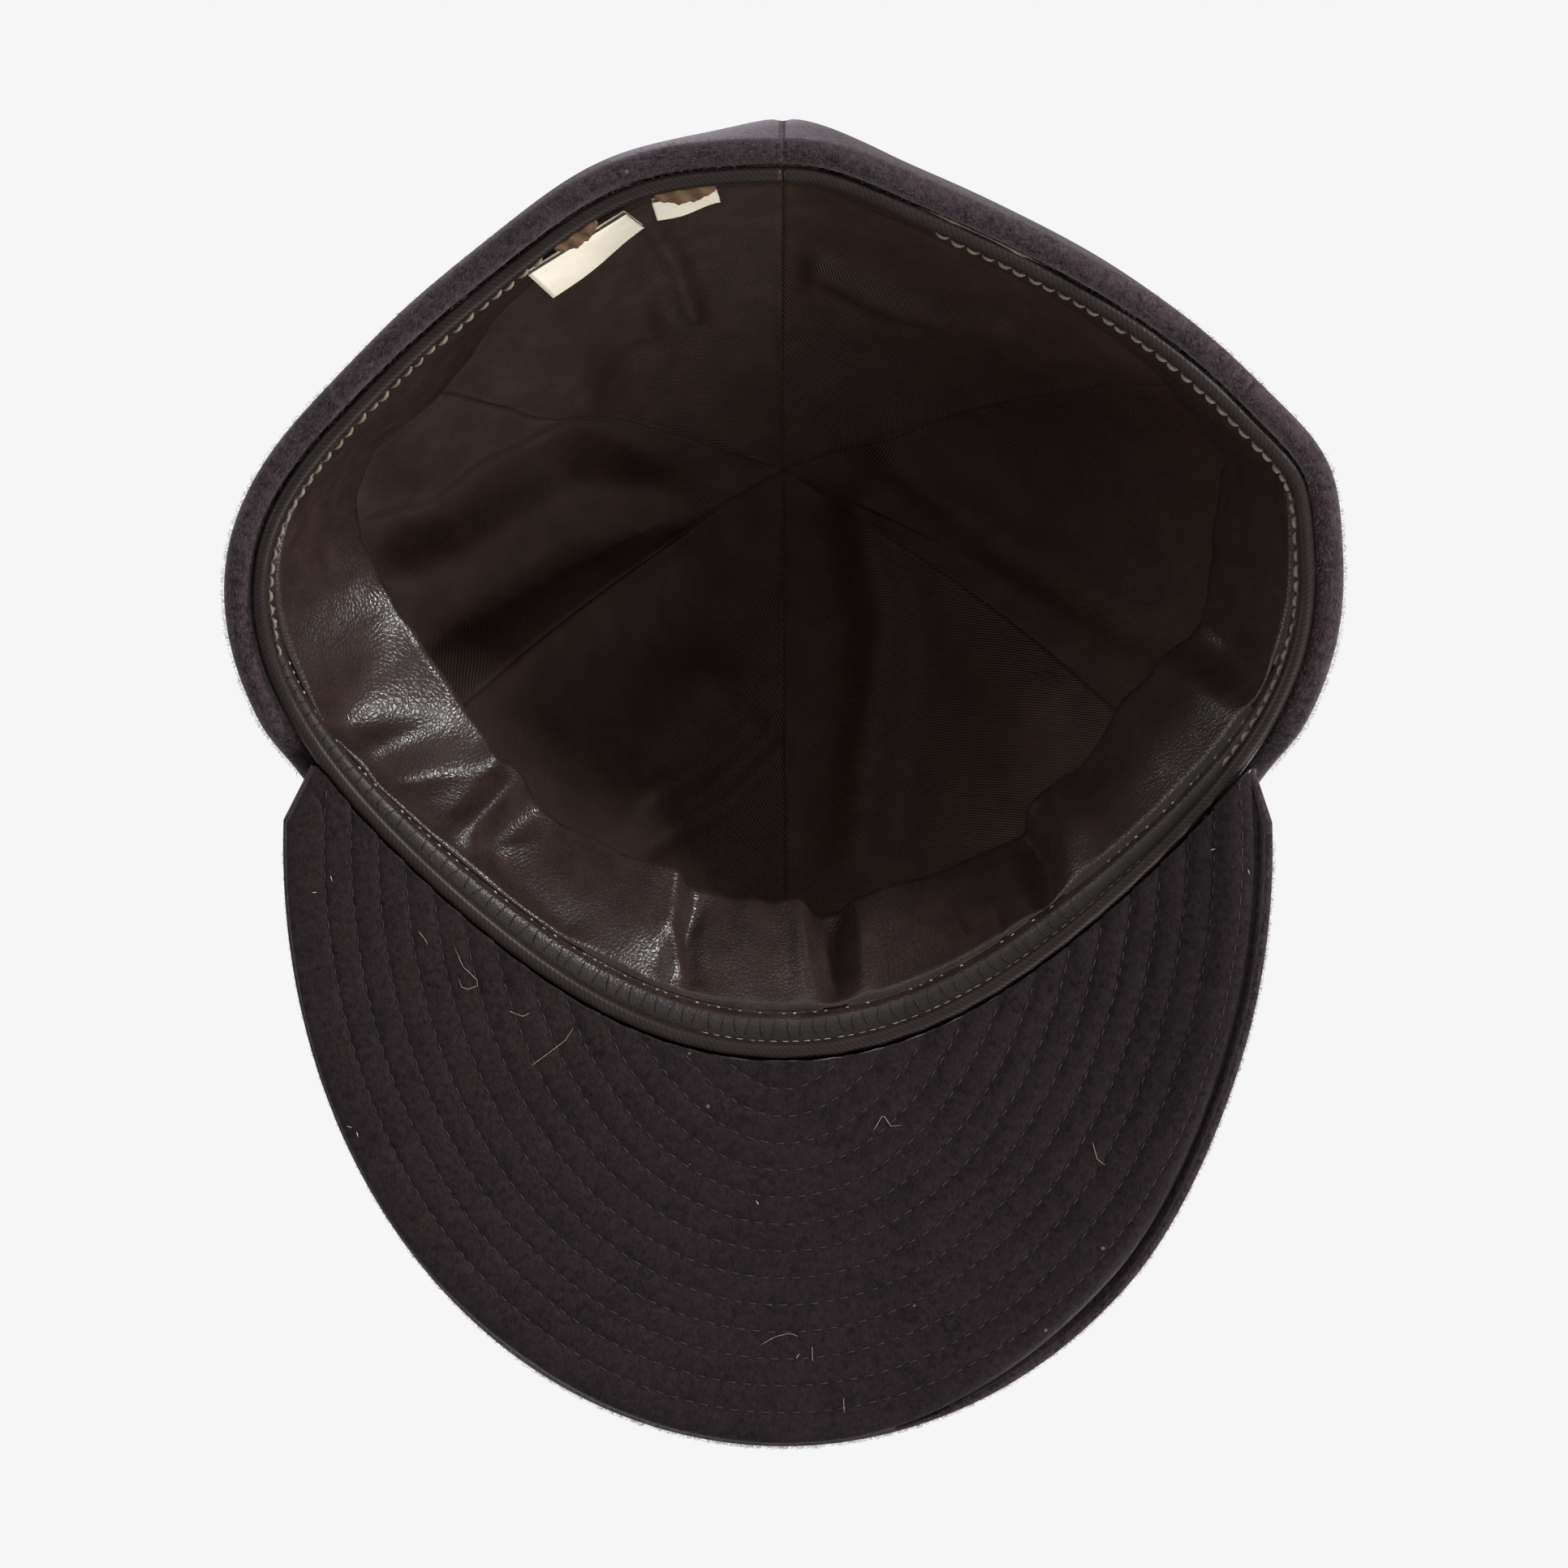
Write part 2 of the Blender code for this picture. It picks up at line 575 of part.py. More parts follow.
def button_tack(finish, cap):
    """The tack that holds the button: a washer inside the crown and a pin up through the panels."""
    washer_top = -WOOL - SEAM_DIP - CLEARANCE
    washer_foot = washer_top - TACK_WASHER_THICKNESS
    profile = [
        (0, TACK_REACH),
        (TACK_RADIUS, TACK_REACH),
        (TACK_RADIUS, washer_top),
        (TACK_WASHER, washer_top),
        (TACK_WASHER, washer_foot),
        (0, washer_foot),
    ]
    obj = turned("button_tack", profile, finish, cap)
    obj.location = apex()
    return obj


def sewn_label(name, angle, width, length, finish, cap):
    """A ribbon folded once, hanging from the sweatband's foot, with its origin on the sewn line."""
    # The label is straight and the rim is curved, so the label moves in until all of it clears the band.
    places = length_at(angle) + width * np.linspace(-0.5, 0.5, 9)
    foot = np.stack(rim_stations(places, LABEL_INSET + band_run(angle)), axis=-1)
    along = Vector((*(foot[5] - foot[3]), 0)).normalized()
    inwards = along.cross(Vector((0, 0, 1)))
    if inwards.dot(Vector((*foot[4], 0))) > 0:
        inwards = -inwards
    x, y = foot[4] + np.array(inwards[:2]) * ((foot - foot[4]) @ np.array(inwards[:2])).max()
    up = Vector((0, 0, 1)) * math.cos(LABEL_LEAN) + inwards * math.sin(LABEL_LEAN)
    face = along.cross(up)
    straight = length - LABEL_FOLD
    section = [(0, LABEL_FOLD), (straight / 2, LABEL_FOLD), (straight, LABEL_FOLD)]
    for turn in (0.25, 0.5, 0.75):
        bend = turn * math.pi
        section.append((straight + LABEL_FOLD * math.sin(bend), LABEL_FOLD * math.cos(bend)))
    section += [(straight, -LABEL_FOLD), (straight / 2, -LABEL_FOLD), (0, -LABEL_FOLD)]
    rows = [
        [tuple(along * (width * (share - 0.5)) + up * reach + face * off) for share in (0, 0.5, 1)]
        for reach, off in section
    ]
    obj = sheet(name, np.array(rows), LABEL_RIBBON, finish, cap)
    obj.location = (x, y, BAND_FOOT + LABEL_RIBBON)
    return obj, along


def rounded(vector):
    return tuple(round(value, 6) for value in vector)


def stand_on_table(frame):
    """Tilts the cap back until visor and rear hem both touch the table, and centres it there."""
    bpy.context.view_layer.update()
    graph = bpy.context.evaluated_depsgraph_get()
    points = []
    for obj in frame.children:
        shape = obj.evaluated_get(graph)
        mesh = shape.to_mesh()
        points += [tuple(shape.matrix_world @ vert.co) for vert in mesh.vertices]
        shape.to_mesh_clear()
    points = np.array(points)
    heel = rim_plan(RIM_ANGLES, WOOL / 2 + HEM_TURN)[1].max()
    ahead = points[points[:, 1] < 0]
    tilt = np.arctan2(-ahead[:, 2], heel - ahead[:, 1]).max()
    turn = Matrix.Rotation(-tilt, 4, "X")
    turned_points = points @ np.array(turn.to_3x3()).T
    low, high = turned_points.min(axis=0), turned_points.max(axis=0)
    shift = Vector((-(low[0] + high[0]) / 2, -(low[1] + high[1]) / 2, -low[2]))
    frame.matrix_world = Matrix.Translation(shift) @ turn
    print("tilt on the table, degrees:", round(math.degrees(tilt), 3))
    print("head opening: centre", rounded(shift), "up axis", rounded(turn.to_3x3() @ Vector((0, 0, 1))))


def main():
    clear_scene()
    cap = {"collection": bpy.data.collections.new("cap"), "frame": bpy.data.objects.new("cap_frame", None)}
    bpy.context.scene.collection.children.link(cap["collection"])
    cap["collection"].objects.link(cap["frame"])

    wool = principled("wool", (0.016, 0.013, 0.015), 0.95)
    twill = principled("lining_twill", (0.010, 0.008, 0.007), 0.6)
    hide = principled("leather", (0.022, 0.017, 0.016), 0.38)
    oilcloth = principled("edge_tape_cloth", (0.020, 0.016, 0.015), 0.5)
    cord = principled("cord", (0.30, 0.27, 0.22), 0.8)
    card = principled("visor_card", (0.45, 0.40, 0.32), 0.8)
    steel = principled("tack_steel", (0.55, 0.55, 0.56), 0.35, 1.0)
    ribbon = principled("label_ribbon", (0.86, 0.82, 0.72), 0.8)

    places = ("back_left", "side_left", "front_left", "front_right", "side_right", "back_right")
    for panel, place in enumerate(places):
        crown_panel(f"crown_{place}", panel, wool, cap)
        lining_panel(f"lining_{place}", panel, twill, cap)
    sweatband(hide, cap)
    edge_tape(oilcloth, cap)
    edge_cord(cord, cap)
    visor_cloth("visor_upper_cloth", 1, wool, cap)
    visor_cloth("visor_lower_cloth", -1, wool, cap)
    visor_board(card, cap)
    top_button(wool, cap)
    button_tack(steel, cap)
    labels = [sewn_label(*label, ribbon, cap) for label in LABELS]
    stand_on_table(cap["frame"])

    place = cap["frame"].matrix_world
    for label, along in labels:
        print(label.name, "swings at", rounded(place @ label.location), "about", rounded(place.to_3x3() @ along))
    inside_x, inside_y = rim_stations(STATIONS, BAND_INSET + LEATHER / 2)
    round_the_head = np.hypot(np.diff(inside_x), np.diff(inside_y)).sum()
    print("round the sweatband's foot, inside:", round(round_the_head, 4), "m")


main()
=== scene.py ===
# %% [markdown]
# # A soft six-panel wool cap, seen into its head opening
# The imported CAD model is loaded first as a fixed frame. Every piece below is drawn where its solid is,
# with finer folds, stitches and cloth finishes than a solid can carry.

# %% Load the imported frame
import json
import math

import bpy
import numpy as np
from mathutils import Matrix


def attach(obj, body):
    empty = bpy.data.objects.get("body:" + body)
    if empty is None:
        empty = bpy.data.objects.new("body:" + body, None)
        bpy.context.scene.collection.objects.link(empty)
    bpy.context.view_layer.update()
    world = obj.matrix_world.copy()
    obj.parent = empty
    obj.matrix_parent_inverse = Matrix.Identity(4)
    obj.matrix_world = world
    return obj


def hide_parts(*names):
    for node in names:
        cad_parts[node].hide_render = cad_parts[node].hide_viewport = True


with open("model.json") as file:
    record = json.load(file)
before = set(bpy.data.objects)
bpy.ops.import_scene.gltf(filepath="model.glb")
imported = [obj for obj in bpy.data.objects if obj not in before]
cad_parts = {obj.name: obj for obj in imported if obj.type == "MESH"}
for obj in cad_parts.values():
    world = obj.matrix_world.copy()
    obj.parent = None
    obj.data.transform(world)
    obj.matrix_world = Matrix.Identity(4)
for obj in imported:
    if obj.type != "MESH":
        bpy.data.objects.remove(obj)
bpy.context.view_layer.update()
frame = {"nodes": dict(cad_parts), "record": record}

print("solids loaded:", len(frame["nodes"]))

# %% [markdown]
# ## The cap's own frame
# A cap is easiest to draw with its head opening level: rim on the plane Z = 0, crown above, visor towards
# -Y. On the table it leans back a little. The record's mount for the head gives that lean and place, so one
# turn about X and one shift carry every drawn point to where the solids stand.

# %% From the cap's frame to the table
head = next(mount for mount in frame["record"]["mounts"] if mount["name"] == "head")
CAP_PLACE = np.array(head["pos_m"])
lean_sin, lean_cos = -np.array(head["axis"])[1:]
CAP_TURN = np.array([[1, 0, 0], [0, lean_cos, lean_sin], [0, -lean_sin, lean_cos]])


def on_table(points):
    """Points of the cap's frame, turned about X by its lean and moved to its place."""
    return np.asarray(points) @ CAP_TURN.T + CAP_PLACE


print("the cap leans back by", round(math.degrees(math.asin(lean_sin)), 2), "degrees")

# %% [markdown]
# ## Camera
# The photograph looks up into the opening along a line that leans forward from the crown's axis. Its focal
# length and offset were found by fitting the visor's and rim's outlines, for an image of 1932 x 1932 pixels.
# The same numbers let a fold or stitch be placed at a spot in that image, on the surface that carries it.

# %% Camera at the photograph's viewing angle
IMAGE_SIZE = 1932
VIEW_LEAN = math.radians(16)
VIEW_DISTANCE = 1.2
FOCAL_PIXELS = 7344
VIEW_OFFSET = np.array([-0.0002, 0.0304])
SENSOR = 36
view_right = np.array([-1, 0, 0])
view_up = np.array([0, math.cos(VIEW_LEAN), math.sin(VIEW_LEAN)])
view_ahead = np.array([0, -math.sin(VIEW_LEAN), math.cos(VIEW_LEAN)])


def seen(points):
    """Where points of the cap's frame fall in the image: offset over depth times the focal length."""
    depth = VIEW_DISTANCE + points @ view_ahead
    across = IMAGE_SIZE / 2 + FOCAL_PIXELS * (points @ view_right + VIEW_OFFSET[0]) / depth
    down = IMAGE_SIZE / 2 - FOCAL_PIXELS * (points @ view_up + VIEW_OFFSET[1]) / depth
    return np.stack([across, down], axis=-1)


camera = bpy.data.objects.new("camera", bpy.data.cameras.new("camera"))
bpy.context.scene.collection.objects.link(camera)
camera.data.sensor_width = SENSOR
camera.data.lens = SENSOR * FOCAL_PIXELS / IMAGE_SIZE
camera_place = -VIEW_OFFSET[0] * view_right - VIEW_OFFSET[1] * view_up - VIEW_DISTANCE * view_ahead
axes = np.stack([view_right, view_up, -view_ahead]) @ CAP_TURN.T
camera_matrix = np.eye(4)
camera_matrix[:3, :3] = axes.T
camera_matrix[:3, 3] = on_table(camera_place)
camera.matrix_world = Matrix(camera_matrix.tolist())
bpy.context.scene.camera = camera
print("camera at", np.round(camera_matrix[:3, 3], 3), "lens", round(camera.data.lens, 1))

# %% [markdown]
# ## Numbers shared with the solids
# The sizes repeat those of the CAD source, in metres, so the dressed pieces keep the same gaps. An angle
# round the opening is 0 at the back seam, a quarter turn at +X and a half turn in front, and an inset is a
# distance inwards from the outer face of the crown.

# %% Sizes of the cap
RIM_HALF_WIDTH, RIM_HALF_LENGTH = 0.1127, 0.0965
RIM_FLATTEN, RIM_CORNER_BACK = 0.072, 0.0075
# Where the soft rim stands out or in: degrees from the back seam towards +X, spread, share of the radius.
# The last dent and the fuller swell at the back seam are finer than the solids have them.
RIM_DENTS = (
    (14.7, 15.8, 0.051), (61.7, 15.9, -0.019), (-73.6, 8.0, 0.024), (-55.4, 20.4, 0.015), (-4.1, 8.0, 0.024),
    (-24.0, 14.0, -0.011),
)
PANELS = 6
CROWN_HEIGHT, APEX_BACK = 0.108, 0.010
FRONT_FULLNESS, BACK_FULLNESS = 1.75, 1.8
BACK_SWELL, BACK_SWELL_RISE, BACK_SWELL_SPREAD = 0.0048, 0.15, math.radians(7.2)
WAIST, WAIST_FOOT, WAIST_RISE = 0.05, 0.15, 0.3
WOOL, SEAM_DIP, APEX_HOLE = 0.0025, 0.0011, 0.003
HEM_TURN, HEM_DEPTH, HEM_STEP = 0.00145, 0.012, 0.014
CLEARANCE = 0.0003
LINING, LINING_RELAX, LINING_HOLE = 0.0005, 0.018, 0.0002
CORD_RADIUS, TAPE, TAPE_FLANGE, FLANGE_LEAN = 0.0009, 0.0004, 0.0055, 0.0006
LEATHER, BAND_WIDTH, BAND_JOIN_GAP = 0.001, 0.036, 0.0006
STRIP_RUN_BACK, STRIP_RUN_FRONT, STRIP_PITCH = 0.0008, 0.0062, math.radians(28)
VISOR_LENGTH, VISOR_HALF_WIDTH, VISOR_END = 0.0768, 0.1004, math.radians(114)
VISOR_END_EDGE, VISOR_SHOULDER, VISOR_SLOPE = 0.010, 0.0155, math.radians(14)
VISOR_CLOTH, BOARD, EDGE_ROLL = 0.0016, 0.0016, 0.0036
BUTTON_RADIUS, BUTTON_HEIGHT, BUTTON_SKIRT = 0.0075, 0.0048, 0.0012
TACK_WASHER_THICKNESS = 0.0006
LABEL_RIBBON, LABEL_FOLD, LABEL_LEAN, LABEL_TWIST = 0.00025, 0.00045, math.radians(24), math.radians(10)

HEM_INSET = WOOL + 2 * HEM_TURN
VISOR_THICKNESS = 2 * VISOR_CLOTH + BOARD + 2 * CLEARANCE
EDGE_MID_HEIGHT = VISOR_CLOTH / 2 + CLEARANCE / 2
FACE_MID_HEIGHT = BOARD / 2 + CLEARANCE + VISOR_CLOTH / 2
ROOT_INSET = HEM_INSET - VISOR_THICKNESS / 2 * math.sin(VISOR_SLOPE)
LINING_INSET = HEM_INSET + CLEARANCE + LINING / 2
LINING_REST = WOOL + SEAM_DIP + TACK_WASHER_THICKNESS + 3 * CLEARANCE + LINING / 2
FLANGE_INSET = LINING_INSET + LINING / 2 + CLEARANCE + TAPE / 2
BAND_INSET = FLANGE_INSET + TAPE / 2 + CLEARANCE + LEATHER / 2
TAPE_RADIUS = CORD_RADIUS + CLEARANCE + TAPE / 2
CORD_INSET = HEM_INSET + CLEARANCE + TAPE_RADIUS + TAPE / 2
CORD_HEIGHT = CLEARANCE + TAPE_RADIUS + TAPE / 2
BAND_FOOT = CORD_HEIGHT + TAPE_RADIUS + TAPE / 2 + CLEARANCE
print("hem", round(HEM_INSET * 1000, 2), "mm wide; sweatband starts", round(BAND_FOOT * 1000, 2), "mm up")

# %% [markdown]
# ## The rim and the crown as formulas
# The head opening is an ellipse drawn in on its four diagonals, because soft cloth flattens there, with a few
# dents where the photographed rim stands out or in. The crown is a superellipse from that rim up to the point
# where the panels meet, and it swells a little round the foot of the back seam.


# %% Rim and crown surface
def smooth(value):
    """Rises from 0 to 1 with no corner at either end: 3 s squared minus 2 s cubed."""
    share = np.clip(value, 0, 1)
    return share * share * (3 - 2 * share)


def frontness(angle):
    """Half of one minus the cosine: 0 at the back seam, 1 in front."""
    return (1 - np.cos(angle)) / 2


def near(angle, place, spread):
    """A bell curve round the rim: 1 at a place, falling away over the spread, all in radians."""
    return np.exp(-((2 * np.sin((angle - place) / 2) / spread) ** 2))


def rim_line(angle):
    """An ellipse times one minus a share of sine squared of twice the angle, scaled by the dents."""
    draw = 1 - RIM_FLATTEN * np.sin(2 * angle) ** 2
    dents = 1 + sum(share * near(angle, *np.radians((place, spread))) for place, spread, share in RIM_DENTS)
    x = RIM_HALF_WIDTH * np.sin(angle) * draw
    y = RIM_HALF_LENGTH * np.cos(angle) * draw + RIM_CORNER_BACK * np.sin(angle) ** 2
    return x * dents, y * dents


NORMAL_STEP = 1e-3


def unit(vectors):
    """Vectors brought to length one."""
    return vectors / np.linalg.norm(vectors, axis=-1, keepdims=True)


def running_total(steps):
    """How far along a line each point is, from its steps: 0, then their sums."""
    return np.concatenate([[0], np.cumsum(steps)])


def rim_plan(angle, inset=0.0):
    """The rim moved in square to itself: its own step, turned by a quarter, times the inset."""
    x, y = rim_line(angle)
    before_x, before_y = rim_line(angle - NORMAL_STEP)
    after_x, after_y = rim_line(angle + NORMAL_STEP)
    along_x, along_y = after_x - before_x, after_y - before_y
    speed = np.hypot(along_x, along_y)
    return x + inset * along_y / speed, y - inset * along_x / speed


RIM_ANGLES = np.linspace(0, 2 * math.pi, 1441)
RIM_STEPS = np.hypot(*(np.diff(axis) for axis in rim_plan(RIM_ANGLES)))
RIM_LENGTHS = running_total(RIM_STEPS)
RIM_LENGTH = RIM_LENGTHS[-1]


def angle_at(length):
    """The angle this far along the rim from the back seam."""
    return np.interp(length, RIM_LENGTHS, RIM_ANGLES)


def length_at(angle):
    """How far along the rim this angle lies from the back seam."""
    return np.interp(angle, RIM_ANGLES, RIM_LENGTHS)


RIM_FRONT = length_at(math.pi)
VISOR_START, VISOR_STOP = length_at(np.array([VISOR_END, 2 * math.pi - VISOR_END]))


def rim_lift(angle):
    """Height of the hem's lower edge: 0 behind, on top of the visor in front, with a smooth step."""
    past_visor = (np.abs(length_at(angle) - RIM_FRONT) - (RIM_FRONT - VISOR_START)) / HEM_STEP
    return (VISOR_THICKNESS + CLEARANCE) * (1 - smooth(past_visor))


def wall_foot(angle):
    """Height where the crown's wall starts above the turn of its hem."""
    return rim_lift(angle) + HEM_TURN + WOOL / 2


def fullness(angle):
    """Exponent of the crown's profile: 2 is round, less leans, more stands up."""
    return BACK_FULLNESS + (FRONT_FULLNESS - BACK_FULLNESS) * frontness(angle)


def crown_face(angle, rise):
    """Cosine and sine of the rise, each to the power 2 over the fullness, scale the plan and the height."""
    power = 2 / fullness(angle)
    out = np.cos(rise * math.pi / 2) ** power
    up = np.sin(rise * math.pi / 2) ** power
    fall = smooth((rise - WAIST_FOOT) / WAIST_RISE) * np.cos(rise * math.pi / 2)
    out = out * (1 - WAIST * np.sin(2 * angle) ** 2 * fall)
    rim_x, rim_y = rim_line(angle)
    share = rise / BACK_SWELL_RISE
    swell = BACK_SWELL * (share * np.exp(1 - share)) ** 2 * near(angle, 0.0, BACK_SWELL_SPREAD)
    foot = wall_foot(angle)
    y = APEX_BACK + (rim_y - APEX_BACK) * out + swell
    return np.stack([rim_x * out, y, foot + (CROWN_HEIGHT - foot) * up], axis=-1)


def crown_normal(angle, rise):
    """Outward normal: the cross product of the steps up and round the crown."""
    low, high = np.clip(rise - NORMAL_STEP, 0, 1), np.clip(rise + NORMAL_STEP, 0, 1)
    up = crown_face(angle, high) - crown_face(angle, low)
    round_the_head = crown_face(angle + NORMAL_STEP, rise) - crown_face(angle - NORMAL_STEP, rise)
    return unit(np.cross(up, round_the_head))


def crown_point(angle, rise, inset):
    """The crown's outer face moved in along its normal."""
    angle, rise, inset = np.broadcast_arrays(angle, rise, inset)
    return crown_face(angle, rise) - inset[..., None] * crown_normal(angle, rise)


def rise_at(angle, height):
    """The rise whose height this is: the profile formula solved for the rise."""
    foot = wall_foot(angle)
    share = np.clip((height - foot) / (CROWN_HEIGHT - foot), 0, 1)
    return np.arcsin(share ** (fullness(angle) / 2)) * 2 / math.pi


def rise_to_hole(angle, radius):
    """The rise at which a panel stops this far from the point where they meet."""
    share = radius / np.hypot(*rim_plan(angle))
    return np.arccos(share ** (fullness(angle) / 2)) * 2 / math.pi


def on_rim(length, inset, height):
    """Points this far along the rim, moved in square to it, at a height for each."""
    length, inset, height = np.broadcast_arrays(length, inset, height)
    x, y = rim_plan(angle_at(length), inset)
    return np.stack([x, y, height], axis=-1)


print("round the rim:", round(RIM_LENGTH * 1000), "mm")

# %% [markdown]
# ## From a grid of points to a piece
# Each cloth is a grid of points, four to a face, worked out as whole arrays. A flat map in metres goes with
# it, so a weave keeps its scale. Solidify then gives the cloth its thickness. Threads and fibres are short
# tubes: a ring of points carried along each path, with tapered, closed ends.


# %% Grid and tube builders
def add_piece(name, points, faces, finishes, body="cap", flat_map=None):
    """Makes a mesh of points in the cap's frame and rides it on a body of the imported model."""
    mesh = bpy.data.meshes.new(name)
    mesh.from_pydata(on_table(points.reshape(-1, 3)), [], faces)
    if flat_map is not None:
        corners = np.empty(len(mesh.loops), np.int32)
        mesh.loops.foreach_get("vertex_index", corners)
        layer = mesh.uv_layers.new(name="flat")
        layer.data.foreach_set("uv", flat_map.reshape(-1, 2)[corners].astype(np.float32).ravel())
    mesh.shade_smooth()
    piece = bpy.data.objects.new(name, mesh)
    bpy.context.scene.collection.objects.link(piece)
    for finish in finishes:
        mesh.materials.append(finish)
    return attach(piece, body)


def grid_faces(rows, columns):
    """Four corners for each cell of a grid, in one turning sense."""
    index = np.arange(rows * columns).reshape(rows, columns)
    corners = [index[:-1, :-1], index[:-1, 1:], index[1:, 1:], index[1:, :-1]]
    return np.stack(corners, axis=-1).reshape(-1, 4)


def add_sheet(name, points, thickness, finishes, flat_map=None, body="cap", edge_finish=0):
    """A grid of cloth thickened equally to both sides; its cut edges may take a second finish."""
    piece = add_piece(name, points, grid_faces(*points.shape[:2]), finishes, body, flat_map)
    solidify = piece.modifiers.new("thickness", "SOLIDIFY")
    solidify.thickness, solidify.offset = thickness, 0
    solidify.material_offset_rim = edge_finish
    print(name, points.shape[:2], "grid")
    return piece


def tubes(paths, radius, sides=5, taper=0.35):
    """Rings of radius r about each point of each path, square to it; the end rings shrink by the taper."""
    count, steps = paths.shape[:2]
    along = np.gradient(paths, axis=1)
    along /= np.linalg.norm(along, axis=-1, keepdims=True) + 1e-12
    level = np.where(np.abs(along[..., 2:]) > 0.9, [[[1.0, 0, 0]]], [[[0, 0, 1.0]]])
    first = unit(np.cross(along, level))
    second = np.cross(along, first)
    girth = np.broadcast_to(np.asarray(radius, float).reshape(-1, 1), (count, steps)).copy()
    girth[:, [0, -1]] *= taper
    turn = np.arange(sides) * 2 * math.pi / sides
    ring = np.cos(turn)[:, None] * first[:, :, None] + np.sin(turn)[:, None] * second[:, :, None]
    points = paths[:, :, None] + girth[..., None, None] * ring
    index = np.arange(count * steps * sides).reshape(count, steps, sides)
    after = np.roll(index, -1, axis=2)
    walls = np.stack([index[:, :-1], after[:, :-1], after[:, 1:], index[:, 1:]], axis=-1).reshape(-1, 4)
    caps = np.concatenate([index[:, 0, ::-1], index[:, -1]])
    return points, walls.tolist() + caps.tolist()


def add_tubes(name, paths, radius, finish, body="cap", **shape):
    """Many short tubes as one piece."""
    points, faces = tubes(paths, radius, **shape)
    print(name, len(paths), "threads")
    return add_piece(name, points, faces, [finish], body)


def resample(line, spacing=None, count=None):
    """Points along a line of points, at even spacing or of an even count."""
    gone = running_total(np.linalg.norm(np.diff(line, axis=0), axis=-1))
    wanted = np.arange(0, gone[-1], spacing) if count is None else np.linspace(0, gone[-1], count)
    return np.stack([np.interp(wanted, gone, line[:, axis]) for axis in range(line.shape[1])], axis=-1)


# %% [markdown]
# ## Shared finishes
# Wool, twill, leather and ribbon all need some relief that repeats at a small scale. Each relief is a node
# group, made once and placed in several materials with its own numbers. It gives only values that vary over
# the surface; the shader itself stays in the material.


# %% Node helpers
def put(tree, kind, sockets=None, **settings):
    """Adds a node, sets its settings, and sets or links its inputs."""
    node = tree.nodes.new(kind)
    for key, value in settings.items():
        setattr(node, key, value)
    for key, value in (sockets or {}).items():
        if isinstance(value, bpy.types.NodeSocket):
            tree.links.new(value, node.inputs[key])
        else:
            node.inputs[key].default_value = value
    return node


def start_group(name, numbers, results):
    """An empty group with a vector input, number inputs and number outputs."""
    tree = bpy.data.node_groups.new(name, "ShaderNodeTree")
    tree.interface.new_socket("Vector", in_out="INPUT", socket_type="NodeSocketVector")
    for key, value in numbers.items():
        tree.interface.new_socket(key, in_out="INPUT", socket_type="NodeSocketFloat").default_value = value
    for key in results:
        tree.interface.new_socket(key, in_out="OUTPUT", socket_type="NodeSocketFloat")
    return tree, put(tree, "NodeGroupInput").outputs, put(tree, "NodeGroupOutput").inputs


def maths(tree, operation, *values):
    """One step of arithmetic between sockets and numbers."""
    return put(tree, "ShaderNodeMath", dict(enumerate(values)), operation=operation).outputs[0]


def noise(tree, vector, scale, detail, **more):
    """Outputs of smooth noise at a scale: its value first, and its colour."""
    sockets = {"Vector": vector, "Scale": scale, "Detail": detail, **more}
    return put(tree, "ShaderNodeTexNoise", sockets).outputs


# %% Felted nap: clumps of fibres with a lay, and a slow mottle
def felted_nap_group():
    tree, given, made = start_group("felted_nap", {"Fibre": 3000.0, "Mottle": 90.0}, ["Height", "Shade"])
    laid = put(tree, "ShaderNodeMapping", {"Vector": given["Vector"], "Scale": (1, 0.35, 0.6)}).outputs[0]
    fibre = noise(tree, laid, given["Fibre"], 4.0, Roughness=0.65)[0]
    clump = maths(tree, "MULTIPLY", given["Fibre"], 0.22)
    tuft = noise(tree, given["Vector"], clump, 3.0, Distortion=0.8)[0]
    slow = noise(tree, given["Vector"], given["Mottle"], 3.0)[0]
    height = maths(tree, "MULTIPLY_ADD", fibre, 0.55, maths(tree, "MULTIPLY", tuft, 0.45))
    shade = maths(tree, "MULTIPLY_ADD", slow, 0.15, maths(tree, "MULTIPLY", height, 0.85))
    tree.links.new(height, made["Height"])
    tree.links.new(shade, made["Shade"])
    return tree


# %% Twill: diagonal ribs crossed by finer threads, on the piece's flat map
def twill_weave_group():
    tree, given, made = start_group("twill_weave", {"Pitch": 0.0006}, ["Height", "Shade"])
    parts = put(tree, "ShaderNodeSeparateXYZ", {"Vector": given["Vector"]}).outputs
    wander = noise(tree, given["Vector"], 400.0, 2.0)[0]
    slant = maths(tree, "ADD", parts[0], parts[1])
    turns = maths(tree, "DIVIDE", maths(tree, "MULTIPLY", slant, 2 * math.pi / math.sqrt(2)), given["Pitch"])
    ribs = maths(tree, "SINE", maths(tree, "MULTIPLY_ADD", wander, 1.6, turns))
    across = maths(tree, "DIVIDE", maths(tree, "MULTIPLY", parts[0], 12.0), given["Pitch"])
    cross = maths(tree, "SINE", across)
    height = maths(tree, "MULTIPLY_ADD", ribs, 0.4, maths(tree, "MULTIPLY_ADD", cross, 0.1, 0.5))
    slow = noise(tree, given["Vector"], 120.0, 4.0)[0]
    shade = maths(tree, "MULTIPLY_ADD", slow, 0.6, maths(tree, "MULTIPLY", height, 0.4))
    tree.links.new(height, made["Height"])
    tree.links.new(shade, made["Shade"])
    return tree


